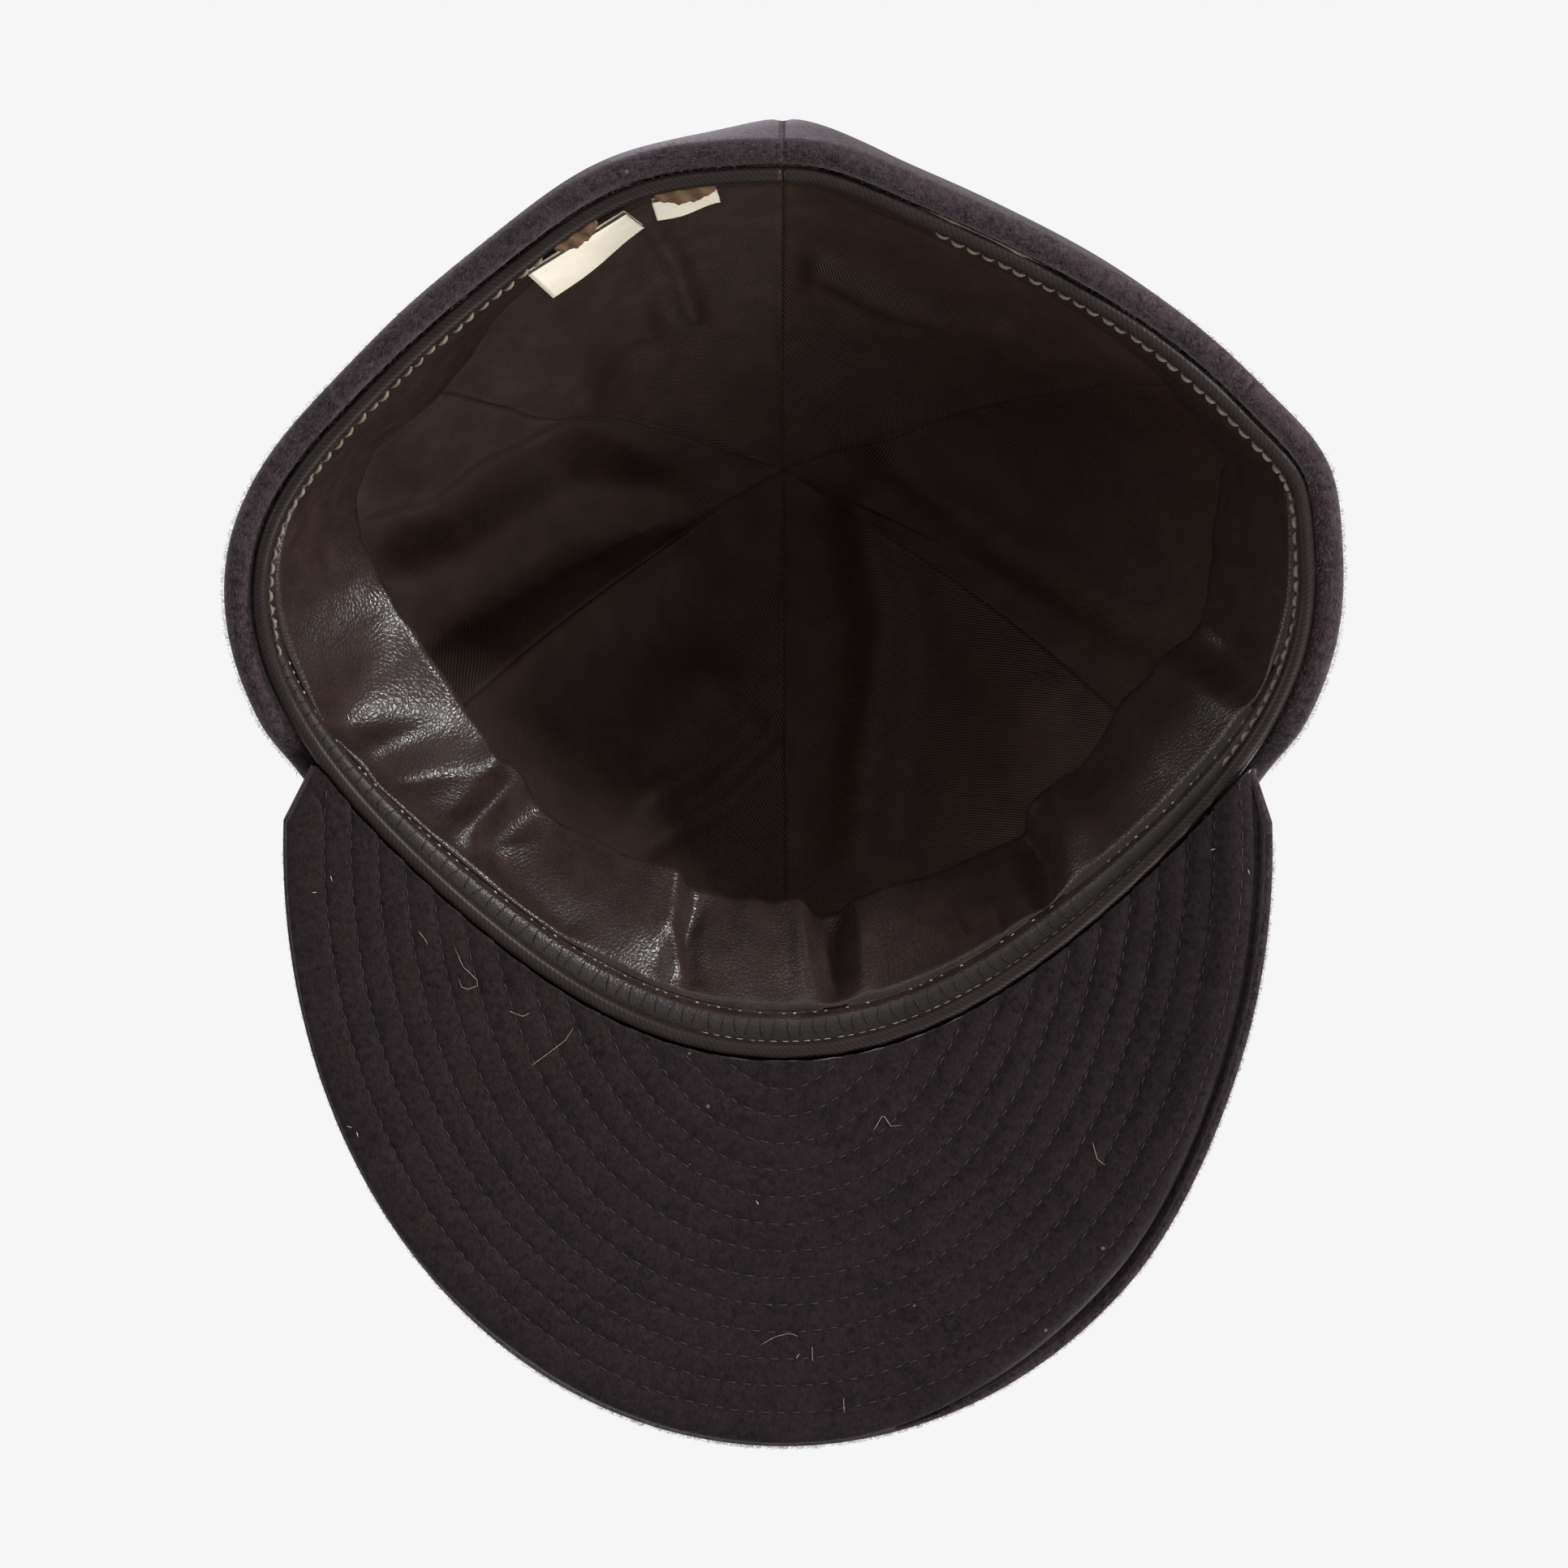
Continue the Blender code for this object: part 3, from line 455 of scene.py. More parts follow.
# %% Leather grain: rounded pebbles parted by creases, over slow dents
def leather_grain_group():
    tree, given, made = start_group("leather_grain", {"Pebble": 1050.0}, ["Height", "Crease", "Shade"])
    bent = noise(tree, given["Vector"], 300.0, 2.0)["Color"]
    mixed = {"Factor": 0.0012, "A": given["Vector"], "B": bent}
    vector = put(tree, "ShaderNodeMix", mixed, data_type="VECTOR").outputs["Result"]
    cells = put(
        tree, "ShaderNodeTexVoronoi", {"Vector": vector, "Scale": given["Pebble"]}, feature="DISTANCE_TO_EDGE"
    ).outputs["Distance"]
    dome = maths(tree, "POWER", maths(tree, "MINIMUM", maths(tree, "MULTIPLY", cells, 2.4), 1.0), 0.6)
    slow = noise(tree, given["Vector"], 160.0, 4.0)[0]
    fine = noise(tree, given["Vector"], 3200.0, 2.0)[0]
    height = maths(tree, "MULTIPLY_ADD", slow, 0.5, maths(tree, "MULTIPLY_ADD", fine, 0.15, dome))
    tree.links.new(height, made["Height"])
    tree.links.new(maths(tree, "SUBTRACT", 1.0, dome), made["Crease"])
    tree.links.new(slow, made["Shade"])
    return tree


# %% Lint: a few pale specks, one chance for each small cell
def lint_group():
    tree, given, made = start_group("lint", {"Cell": 260.0, "Amount": 0.08, "Speck": 0.1}, ["Mask"])
    cells = put(tree, "ShaderNodeTexVoronoi", {"Vector": given["Vector"], "Scale": given["Cell"]})
    chance = put(tree, "ShaderNodeSeparateColor", {"Color": cells.outputs["Color"]}).outputs[0]
    few = maths(tree, "LESS_THAN", chance, given["Amount"])
    small = maths(tree, "LESS_THAN", cells.outputs["Distance"], given["Speck"])
    tree.links.new(maths(tree, "MULTIPLY", few, small), made["Mask"])
    return tree


FELTED_NAP, TWILL_WEAVE = felted_nap_group(), twill_weave_group()
LEATHER_GRAIN, LINT = leather_grain_group(), lint_group()
print("groups:", [group.name for group in bpy.data.node_groups])

# %% [markdown]
# ## Materials
# The wool is nearly black with a brown cast, dull, and slightly paler where its nap catches light. The lining
# is a thin dark twill with a faint sheen, the sweatband a grained leather with a soft gloss, and the tape on
# its edge a smooth coated cloth. Colours are written as seen in plain light, save for painted light and
# shade: the wool's paler crown copy and darker under-visor copy, the leather's darkened creases, the fibres'
# partly paler tone and the pale highlight dashes beside the cord.


# %% Material helpers
def linear(red, green, blue):
    """Screen values from 0 to 255 as linear light: the power 2.4 curve of the sRGB standard."""
    share = np.array([red, green, blue]) / 255
    light = np.where(share <= 0.04045, share / 12.92, ((share + 0.055) / 1.055) ** 2.4)
    return (*light.tolist(), 1.0)


def start_material(name, roughness, **plain):
    """A material with one Principled shader; plain numbers are set on the shader's own sockets."""
    material = bpy.data.materials.new(name)
    material.use_nodes = True
    tree = material.node_tree
    shader = tree.nodes["Principled BSDF"]
    shader.inputs["Roughness"].default_value = roughness
    for key, value in plain.items():
        shader.inputs[key.replace("_", " ")].default_value = value
    return material, tree, shader


def place(tree, group, **sockets):
    """A shared relief group with its inputs."""
    return put(tree, "ShaderNodeGroup", sockets, node_tree=group).outputs


def blend_colours(tree, share, dark, light):
    """A mix of two colours by a share that varies over the surface."""
    sockets = {"Factor": share, "A": dark, "B": light}
    mix = put(tree, "ShaderNodeMix", data_type="RGBA")
    for key, value in sockets.items():
        socket = next(s for s in mix.inputs if s.name == key and s.enabled)
        if isinstance(value, bpy.types.NodeSocket):
            tree.links.new(value, socket)
        else:
            socket.default_value = value
    return next(s for s in mix.outputs if s.enabled)


def spread(tree, value, low, high, to_low=0.0, to_high=1.0):
    """A value's range, clamped and carried to another range."""
    numbers = {"Value": value, 1: low, 2: high, 3: to_low, 4: to_high}
    return put(tree, "ShaderNodeMapRange", numbers).outputs[0]


def bump(tree, shader, height, strength, distance):
    """Relief from a height, to the shader's normal."""
    node = put(tree, "ShaderNodeBump", {"Height": height, "Strength": strength, "Distance": distance})
    tree.links.new(node.outputs[0], shader.inputs["Normal"])


# %% Wool
def wool_finish(name, dark, light, sheen, lint_amount=0.05):
    fuzz = dict(Sheen_Weight=sheen, Sheen_Roughness=0.4, Sheen_Tint=(0.8, 0.74, 0.84, 1))
    material, tree, shader = start_material(name, 0.95, Specular_IOR_Level=0.04, **fuzz)
    where = put(tree, "ShaderNodeTexCoord").outputs["Object"]
    nap = place(tree, FELTED_NAP, Vector=where)
    specks = place(tree, LINT, Vector=where, Amount=lint_amount)
    cloth = blend_colours(tree, spread(tree, nap["Shade"], 0.38, 0.64), linear(*dark), linear(*light))
    dusted = blend_colours(tree, maths(tree, "MULTIPLY", specks["Mask"], 0.5), cloth, linear(120, 112, 108))
    tree.links.new(dusted, shader.inputs["Base Color"])
    tree.links.new(spread(tree, nap["Shade"], 0.3, 0.7, 1.0, 0.82), shader.inputs["Roughness"])
    bump(tree, shader, nap["Height"], 0.55, 0.0007)
    return material


# One wool in two copies: the crown's paler copy paints light on its lit hem and walls, and the under-visor's
# darker copy paints shade
LIT_CROWN_WOOL = wool_finish("crown_wool_painted_light", (26, 20, 20), (66, 57, 60), 0.3)
SHADED_VISOR_WOOL = wool_finish("visor_wool_painted_shade", (16, 12, 12), (38, 31, 32), 0.3)


# %% Lining twill
def lining_finish():
    material, tree, shader = start_material("lining_twill", 0.5, Specular_IOR_Level=0.15)
    flat = put(tree, "ShaderNodeTexCoord").outputs["UV"]
    weave = place(tree, TWILL_WEAVE, Vector=flat, Pitch=0.00055)
    threads = spread(tree, weave["Shade"], 0.25, 0.75)
    cloth = blend_colours(tree, threads, linear(30, 21, 17), linear(58, 43, 37))
    tree.links.new(cloth, shader.inputs["Base Color"])
    tree.links.new(spread(tree, weave["Shade"], 0.3, 0.7, 0.62, 0.46), shader.inputs["Roughness"])
    bump(tree, shader, weave["Height"], 0.6, 0.0003)
    return material


LINING_CLOTH = lining_finish()


# %% Sweatband leather and its raw cut edge
# Length across the leather where the dark, dull edge strip gives way to the band
STRIP_FADE = (0.0036, 0.0052)


def leather_finish(name, dark, light, pebble, gloss):
    material, tree, shader = start_material(name, 0.4, Specular_IOR_Level=0.22)
    where = put(tree, "ShaderNodeTexCoord").outputs["Object"]
    grain = place(tree, LEATHER_GRAIN, Vector=where, Pebble=pebble)
    skin = blend_colours(tree, spread(tree, grain["Shade"], 0.3, 0.7), linear(*dark), linear(*light))
    # The grain's creases are darkened towards near-black: painted shade in the creases
    painted_crease_shade = blend_colours(tree, spread(tree, grain["Crease"], 0.5, 1.0, 0.0, 0.6), skin, linear(20, 15, 14))
    flat = put(tree, "ShaderNodeTexCoord").outputs["UV"]
    across = put(tree, "ShaderNodeSeparateXYZ", {"Vector": flat}).outputs[1]
    handled = blend_colours(tree, spread(tree, across, *STRIP_FADE, 0.6, 0.0), painted_crease_shade, linear(13, 9, 9))
    tree.links.new(handled, shader.inputs["Base Color"])
    shine = spread(tree, grain["Shade"], 0.3, 0.7, gloss + 0.1, gloss - 0.06)
    dull = maths(tree, "ADD", shine, spread(tree, across, *STRIP_FADE, 0.25, 0.0))
    tree.links.new(dull, shader.inputs["Roughness"])
    bump(tree, shader, grain["Height"], 0.22, 0.0003)
    return material


BAND_LEATHER = leather_finish("sweatband_leather", (28, 20, 18), (46, 36, 33), 1050.0, 0.28)
RAW_EDGE = leather_finish("raw_leather_edge", (60, 50, 46), (118, 104, 96), 2400.0, 0.8)


# %% Coated tape, ribbon, threads, and the hidden pieces
def plain_cloth(name, dark, light, pitch, roughness, relief):
    material, tree, shader = start_material(name, roughness, Specular_IOR_Level=0.1)
    flat = put(tree, "ShaderNodeTexCoord").outputs["UV"]
    weave = place(tree, TWILL_WEAVE, Vector=flat, Pitch=pitch)
    cloth = blend_colours(tree, spread(tree, weave["Shade"], 0.25, 0.75), linear(*dark), linear(*light))
    tree.links.new(cloth, shader.inputs["Base Color"])
    tree.links.new(
        spread(tree, weave["Shade"], 0.3, 0.7, roughness + 0.08, roughness - 0.06), shader.inputs["Roughness"]
    )
    bump(tree, shader, weave["Height"], relief, 0.00015)
    return material


def spun_finish(name, dark, light, roughness=0.8, metallic=0.0, grain=2600.0):
    material, tree, shader = start_material(name, roughness, Metallic=metallic, Specular_IOR_Level=0.3)
    where = put(tree, "ShaderNodeTexCoord").outputs["Object"]
    nap = place(tree, FELTED_NAP, Vector=where, Fibre=grain, Mottle=300.0)
    yarn = blend_colours(tree, spread(tree, nap["Shade"], 0.36, 0.64), linear(*dark), linear(*light))
    tree.links.new(yarn, shader.inputs["Base Color"])
    tree.links.new(
        spread(tree, nap["Shade"], 0.35, 0.65, roughness, roughness - 0.15), shader.inputs["Roughness"]
    )
    bump(tree, shader, nap["Height"], 0.4, 0.0002)
    return material


COATED_TAPE = plain_cloth("coated_tape", (24, 19, 18), (38, 31, 29), 0.0009, 0.42, 0.2)
CREAM_RIBBON = plain_cloth("cream_ribbon", (214, 205, 184), (241, 234, 216), 0.0004, 0.7, 0.3)
RAW_SUEDE = spun_finish("raw_suede", (54, 40, 26), (98, 75, 50), 0.95)
DARK_THREAD = spun_finish("dark_thread", (22, 17, 17), (40, 33, 33))
BEIGE_THREAD = spun_finish("beige_thread", (74, 66, 58), (122, 112, 99))
# Pale thread; the same finish also paints the highlight dashes beside the cord
PALE_THREAD_AND_HIGHLIGHT = spun_finish("pale_thread_and_highlight", (120, 113, 105), (184, 177, 168))
SLIT_THREAD = spun_finish("slit_thread", (8, 6, 6), (18, 14, 14))
# Paler than the wool: partly the fibres' own lighter tone, partly a painted sheen on the hem's and visor's
# edges
PALE_FIBRE_AND_SHEEN = spun_finish("wool_fibre_tone_and_sheen", (40, 34, 36), (96, 86, 90), 0.95)
COTTON_CORD = spun_finish("cotton_cord", (176, 166, 146), (206, 198, 182))
GREY_CARD = spun_finish("grey_card", (120, 112, 100), (150, 142, 130), 0.9, 0.0, 900.0)
TACK_STEEL = spun_finish("tack_steel", (150, 150, 152), (190, 190, 192), 0.45, 1.0, 1800.0)
print("materials:", len(bpy.data.materials))

# %% [markdown]
# ## Crown panels
# Six gores of felted wool are sewn edge to edge, and each turns its lower edge up inside as a hem. The grid
# runs up the inner flap, round the turn, and over the crown. Between seams the cloth puffs a little, and at
# each seam it dips, first gently and then sharply at the stitches.

# %% Panel helpers
PANEL_NAMES = ("back_left", "side_left", "front_left", "front_right", "side_right", "back_right")
rng = np.random.default_rng(11)


def seam_angles(panel, shares):
    """Angles of a panel's columns. The panels share the rim equally, from the back seam."""
    return angle_at((panel + np.asarray(shares)) * RIM_LENGTH / PANELS)


def panel_width(panel, rise):
    """Straight width of a panel from seam to seam at this rise."""
    ends = seam_angles(panel, (0, 1))
    return np.linalg.norm(crown_face(ends[1], rise) - crown_face(ends[0], rise))


def between_seams(panel, rise, shares, gap=0.0):
    """Angles of the columns at this rise, drawn in so that neighbours keep a gap at the seam."""
    margin = gap / 2 / panel_width(panel, rise)
    return seam_angles(panel, margin + (1 - 2 * margin) * shares)


def soft_waves(angle, rise):
    """Slow dents of worn cloth: three sines of the angle and the rise that meet again after a full turn."""
    wave = 0.45 * np.sin(5 * angle + 4 * rise + 0.6) + 0.35 * np.sin(8 * angle - 7 * rise + 2.1)
    return 0.001 * (wave + 0.2 * np.sin(13 * angle + 11 * rise))


def flat_gore(points):
    """Flat map of a gore: across from its middle line and up along it, both as measured on the surface."""
    across = np.linalg.norm(np.diff(points, axis=1), axis=-1)
    across = np.concatenate([np.zeros((len(points), 1)), np.cumsum(across, axis=1)], axis=1)
    middle = points[:, points.shape[1] // 2]
    up = running_total(np.linalg.norm(np.diff(middle, axis=0), axis=-1))
    centred = across - across[:, -1:] / 2
    return np.stack([centred, np.broadcast_to(up[:, None], centred.shape)], axis=-1)


def flat_grid(across, up):
    """Flat map of a strip: the same places across on every row, the same length up on every column."""
    return np.stack(np.broadcast_arrays(across[None], up[:, None]), axis=-1)


# %% The six wool gores
GORE_COLUMNS = 57
HEM_WAVE = 0.0004


def crown_panel(panel):
    """Rows of a gore: inner flap, turn of the hem as a half circle, and wall up to the hole at the top."""
    even = np.linspace(0, 1, GORE_COLUMNS)
    shares = even - 0.35 * np.sin(2 * math.pi * even) / (2 * math.pi)
    near_seam = np.minimum(shares, 1 - shares)
    dip = SEAM_DIP * smooth(1 - near_seam / 0.2) + 0.0005 * smooth(1 - near_seam / 0.03)
    angles = between_seams(panel, 0.0, shares)
    wave = HEM_WAVE * np.sin(19 * angles + 1.3) * np.sin(7 * angles)
    rows = []
    for height in np.linspace(HEM_DEPTH, 0, 7):
        rise = rise_at(angles, wall_foot(angles) + height)
        rows.append(crown_point(angles, rise, WOOL / 2 + 2 * HEM_TURN))
    for turn in np.linspace(0, 1, 12)[1:-1]:
        row = crown_point(angles, 0.0, WOOL / 2 + HEM_TURN * (1 + math.cos(turn * math.pi)))
        row[:, 2] -= (HEM_TURN + wave) * math.sin(turn * math.pi)
        rows.append(row)
    top = rise_to_hole(seam_angles(panel, np.array([0.5])), APEX_HOLE)[0]
    for rise in np.linspace(0, top, 62):
        narrowing = panel_width(panel, rise) / panel_width(panel, 0.0)
        angles = between_seams(panel, rise, shares)
        inset = WOOL / 2 + dip * narrowing * smooth(rise / 0.12)
        calm = smooth(rise / 0.15) * (1 - smooth((rise - 0.8) / 0.2))
        rows.append(crown_point(angles, rise, inset + soft_waves(angles, rise) * calm))
    return np.array(rows)


for panel, panel_name in enumerate(PANEL_NAMES):
    points = crown_panel(panel)
    flat_map = flat_gore(points)
    gore = add_sheet(f"wool_{panel_name}", points, WOOL, [LIT_CROWN_WOOL], flat_map)
    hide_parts(f"crown_{panel_name}")

# %% [markdown]
# ## Lining
# A thin twill lining of the same six gores hangs inside the crown. It is cut a little full, so it falls in
# broad slack folds. A fold is a line in the photograph; each lining point is moved inwards by a bell curve of
# its distance from that line, as the camera sees it.

# %% Folds drawn along lines of the photograph
# Each fold: depth inwards in metres, width in image pixels, and the line it runs along
LINING_FOLDS = (
    (0.0060, 46, ((430, 610), (505, 590), (583, 530), (700, 470))),
    (-0.0016, 22, ((440, 641), (512, 627), (583, 571), (700, 515), (800, 560))),
    (0.0055, 42, ((470, 720), (560, 680), (690, 590), (800, 600))),
    (-0.0016, 22, ((526, 784), (597, 734), (700, 675), (820, 640))),
    (0.0050, 50, ((600, 830), (700, 760), (820, 690))),
    (0.0055, 60, ((860, 860), (800, 960), (780, 1030))),
    (0.0022, 16, ((780, 1000), (860, 960), (930, 900))),
    (0.0022, 14, ((800, 1050), (900, 990), (960, 930))),
    (0.0050, 44, ((1110, 560), (1250, 680), (1390, 770))),
    (-0.0014, 24, ((1110, 600), (1250, 720), (1390, 812))),
    (0.0052, 40, ((1070, 640), (1100, 770), (1066, 1045))),
    (-0.0014, 22, ((1096, 630), (1135, 770), (1100, 1045))),
    (0.0045, 60, ((1290, 880), (1200, 780), (1130, 660))),
    (0.0028, 20, ((625, 462), (700, 432), (790, 402))),
    (-0.0012, 12, ((612, 479), (680, 455), (785, 420))),
    (0.0024, 18, ((1010, 330), (1110, 380), (1230, 400))),
    (-0.0010, 10, ((1015, 350), (1060, 380), (1140, 405))),
    (0.0022, 22, ((1250, 430), (1350, 420), (1430, 450))),
    (0.0024, 16, ((800, 270), (830, 320), (850, 380))),
)


def fold_depth(folds, pixels):
    """Sum of bell curves of each point's distance from the fold lines, as seen in the image."""
    total = np.zeros(pixels.shape[:-1])
    for depth, width, line in folds:
        ends = np.array(line, float)
        start, step = ends[:-1], np.diff(ends, axis=0)
        away = pixels[..., None, :] - start
        share = np.clip((away * step).sum(-1) / (step * step).sum(-1), 0, 1)
        distance = np.linalg.norm(away - share[..., None] * step, axis=-1).min(-1)
        total += depth * np.exp(-((distance / width) ** 2))
    return total


def lining_panel(panel):
    """Rows of a lining gore: over the hem at first, then easing out to the crown, with the slack folds."""
    even = np.linspace(0, 1, 61)
    angles = between_seams(panel, 0.0, even)
    rows = []
    for share in (0, 0.25, 0.5, 0.75):
        height = BAND_FOOT + share * HEM_DEPTH
        row = crown_point(angles, rise_at(angles, np.maximum(height, wall_foot(angles))), LINING_INSET)
        row[:, 2] += np.minimum(height - wall_foot(angles), 0)
        rows.append(row)
    top = rise_to_hole(seam_angles(panel, np.array([0.5])), LINING_HOLE)[0]
    start = rise_at(angles, wall_foot(angles) + HEM_DEPTH + BAND_FOOT)
    for share in np.linspace(0, 1, 72):
        rise = start + (top - start) * share
        columns = between_seams(panel, np.mean(rise), even)
        height = crown_face(columns, rise)[:, 2]
        leave = smooth((height - wall_foot(columns) - HEM_DEPTH) / LINING_RELAX)
        inset = LINING_INSET + (LINING_REST - LINING_INSET) * leave
        near_top = 1 - smooth((share - 0.86) / 0.14)
        seam = 0.0005 * smooth(1 - np.minimum(even, 1 - even) / 0.05) * near_top
        slack = fold_depth(LINING_FOLDS, seen(crown_point(columns, rise, inset)))
        slack = np.maximum(slack, -0.0006) * leave * near_top
        rows.append(crown_point(columns, rise, inset + slack + seam))
    return np.array(rows)


for panel, panel_name in enumerate(PANEL_NAMES):
    points = lining_panel(panel)
    flat_map = flat_gore(points)
    gore = add_sheet(f"twill_{panel_name}", points, LINING, [LINING_CLOTH], flat_map)
    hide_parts(f"lining_{panel_name}")

# %% [markdown]
# ## Sweatband
# A strip of soft leather is sewn in by its lower edge. Its edge strip turns over the cord, a sewn groove
# parts it from the band, and the band stands in the opening with a free, rippled edge. The free edge follows
# a table: place along the rim from the front centre towards +X, and how far it stands in. The creases follow
# lines of the photograph, as the lining's folds do.

# %% The band's surface
BAND_SPRING, BAND_CURL = 1.05, 1.1
BAND_EDGE = np.array([
    (-0.300, 0.0072), (-0.240, 0.0074), (-0.220, 0.0078), (-0.210, 0.0084), (-0.190, 0.0109),
    (-0.170, 0.0140), (-0.152, 0.0135), (-0.140, 0.0117), (-0.125, 0.0151), (-0.110, 0.0156),
    (-0.092, 0.0111), (-0.080, 0.0129), (-0.076, 0.0125), (-0.072, 0.0078), (-0.060, 0.0097),
    (-0.045, 0.0127), (-0.030, 0.0146), (-0.0225, 0.0140), (-0.0195, 0.0114), (-0.0095, 0.0120),
    (-0.0065, 0.0166), (0.000, 0.0166), (0.030, 0.0156), (0.0335, 0.0160), (0.037, 0.0184),
    (0.041, 0.0180), (0.052, 0.0155), (0.070, 0.0124), (0.077, 0.0128), (0.084, 0.0152),
    (0.088, 0.0160), (0.092, 0.0150), (0.098, 0.0172), (0.110, 0.0192), (0.128, 0.0212),
    (0.145, 0.0203), (0.165, 0.0173), (0.190, 0.0112), (0.202, 0.0095), (0.220, 0.0119),
    (0.232, 0.0108), (0.243, 0.0080), (0.262, 0.0072), (0.300, 0.0072),
])
BAND_FOLDS = (
    (-0.0030, 42, ((525, 770), (470, 838), (415, 892))),
    (0.0026, 30, ((590, 880), (540, 905), (465, 930))),
    (-0.0018, 20, ((602, 934), (520, 952), (465, 965))),
    (0.0026, 17, ((643, 958), (606, 990), (570, 1026))),
    (-0.0022, 24, ((650, 988), (612, 1036), (640, 1090), (692, 1143))),
    (0.0012, 30, ((760, 1060), (745, 1110), (770, 1165))),
    (0.0024, 14, ((846, 1090), (820, 1150), (828, 1195))),
    (-0.0022, 13, ((868, 1096), (850, 1150), (852, 1205))),
    (0.0008, 36, ((925, 1120), (930, 1230))),
    (0.0016, 15, ((988, 1125), (996, 1225))),
    (-0.0020, 15, ((1024, 1140), (1028, 1225))),
    (0.0016, 13, ((1062, 1115), (1066, 1220))),
    (-0.0006, 5, ((1150, 1088), (1172, 1120), (1190, 1150))),
    (-0.0007, 6, ((1202, 1070), (1230, 1120), (1240, 1180))),
    (0.0010, 12, ((1246, 1055), (1262, 1105))),
    (-0.0034, 18, ((1264, 1010), (1286, 1060), (1284, 1110))),
    (0.0018, 20, ((1312, 985), (1330, 1065))),
    (0.0014, 46, ((1490, 870), (1420, 950), (1365, 1010))),
    (-0.0030, 30, ((1500, 800), (1560, 860), (1580, 920))),
    (0.0012, 16, ((1441, 812), (1535, 885), (1540, 930))),
)
STRIP_ROLL, GROOVE_DEPTH, GROOVE_WIDTH = 0.0006, 0.0014, 0.0010
BAND_COLUMNS = 721


def band_run(angle):
    """How far the stitched strip turns inwards before the band rises: most in front, little behind."""
    return STRIP_RUN_BACK + (STRIP_RUN_FRONT - STRIP_RUN_BACK) * frontness(angle) ** 2


def loop_places(inset, count):
    """Even lengths along the rim for a strip whose two ends meet at the back seam."""
    margin = BAND_JOIN_GAP / 2 / (1 - 2 * math.pi * inset / RIM_LENGTH)
    return np.linspace(margin, RIM_LENGTH - margin, count)


def strip_point(places, share, off=0.0):
    """A straight run inwards and up, rolled towards the eye, sinking into the sewn groove at its end."""
    run = band_run(angle_at(places))
    roll = STRIP_ROLL * np.sin(math.pi * share) * smooth(run / 0.003)
    sink = GROOVE_DEPTH * np.exp(-((((1 - share) * run) / GROOVE_WIDTH) ** 2)) * smooth(run / 0.002)
    out = roll - sink + off
    inset = BAND_INSET + run * share + out * math.sin(STRIP_PITCH)
    height = BAND_FOOT + run * share * math.tan(STRIP_PITCH) - out * math.cos(STRIP_PITCH)
    return on_rim(places, inset, height)


def band_edge(places):
    """The table of the free edge, drawn smooth over a few millimetres."""
    offsets = np.linspace(-0.003, 0.003, 11)
    weights = np.exp(-((offsets / 0.0013) ** 2))
    table = np.interp(RIM_FRONT - (places[:, None] + offsets), *BAND_EDGE.T)
    return (table * weights).sum(axis=1) / weights.sum()


def band_point(places, share):
    """From the groove to the free edge: in by the table times a power of the share, up along the leather."""
    angle = angle_at(places)
    run = band_run(angle)
    rise = BAND_WIDTH - run / math.cos(STRIP_PITCH)
    edge = band_edge(places)
    sink = GROOVE_DEPTH * np.exp(-(((share * rise) / GROOVE_WIDTH) ** 2)) * smooth(run / 0.002)
    waves = np.sin(places * 2 * math.pi / 0.019 + 3 * np.sin(places * 40))
    ripple = 0.0003 * share * waves * frontness(angle)
    spring = BAND_SPRING + BAND_CURL * np.exp(-(((RIM_FRONT - places - 0.110) / 0.022) ** 2))
    inset = BAND_INSET + run + edge * share**spring + ripple - sink * math.sin(STRIP_PITCH)
    height = BAND_FOOT + run * math.tan(STRIP_PITCH) + np.sqrt(rise**2 - edge**2) * share
    height = height + sink * math.cos(STRIP_PITCH)
    folds = fold_depth(BAND_FOLDS, seen(on_rim(places, inset, height))) * np.sin(math.pi * share) ** 0.7
    return on_rim(places, inset + folds, height)


places = loop_places(BAND_INSET, BAND_COLUMNS)
rows = [strip_point(places, share) for share in np.linspace(0, 1, 12)]
rows += [band_point(places, share) for share in np.linspace(0, 1, 34)[1:] ** 1.2]
points = np.array(rows)
gone = running_total(np.linalg.norm(np.diff(points[:, BAND_COLUMNS // 2], axis=0), axis=-1))
flat_map = flat_grid(places, gone)
band = add_sheet("leather_sweatband", points, LEATHER, [BAND_LEATHER, RAW_EDGE], flat_map, edge_finish=1)
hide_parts("sweatband")

# %% [markdown]
# ## Sewing of the sweatband
# In front, dark stitches cross the edge strip and a pale thread shows as dots in the groove. Beside the cord
# a dashed pale line paints the highlight on the strip's folded edge. At the sides and back a chain of thicker
# thread holds the cord to the leather. Each kind is many short tubes at even steps along the rim, with a
# little seeded unevenness.

# %% Stitches that cross the strip, dots in its groove, and the painted highlight dashes beside the cord
FRONT_TICKS = np.arange(-0.078, 0.166, 0.0032)
GROOVE_DOTS = np.arange(-0.135, 0.175, 0.0027)
HIGHLIGHT_DASHES = np.arange(-0.125, 0.02, 0.0026)


def places_from_front(steps):
    """Lengths along the rim of steps counted from the front centre towards +X, with a little unevenness."""
    return RIM_FRONT - (steps + rng.normal(0, 0.00022, len(steps)))


def strip_threads_and_highlight(steps, shares, slants, length, off):
    """Threads and painted highlight dashes on the strip: a path of shares across it, and a length along it,
    for each step.
    """
    places = places_from_front(steps)[:, None] + slants[:, None] * (shares - shares.mean()) * 2 + length
    return strip_point(places, shares, off)


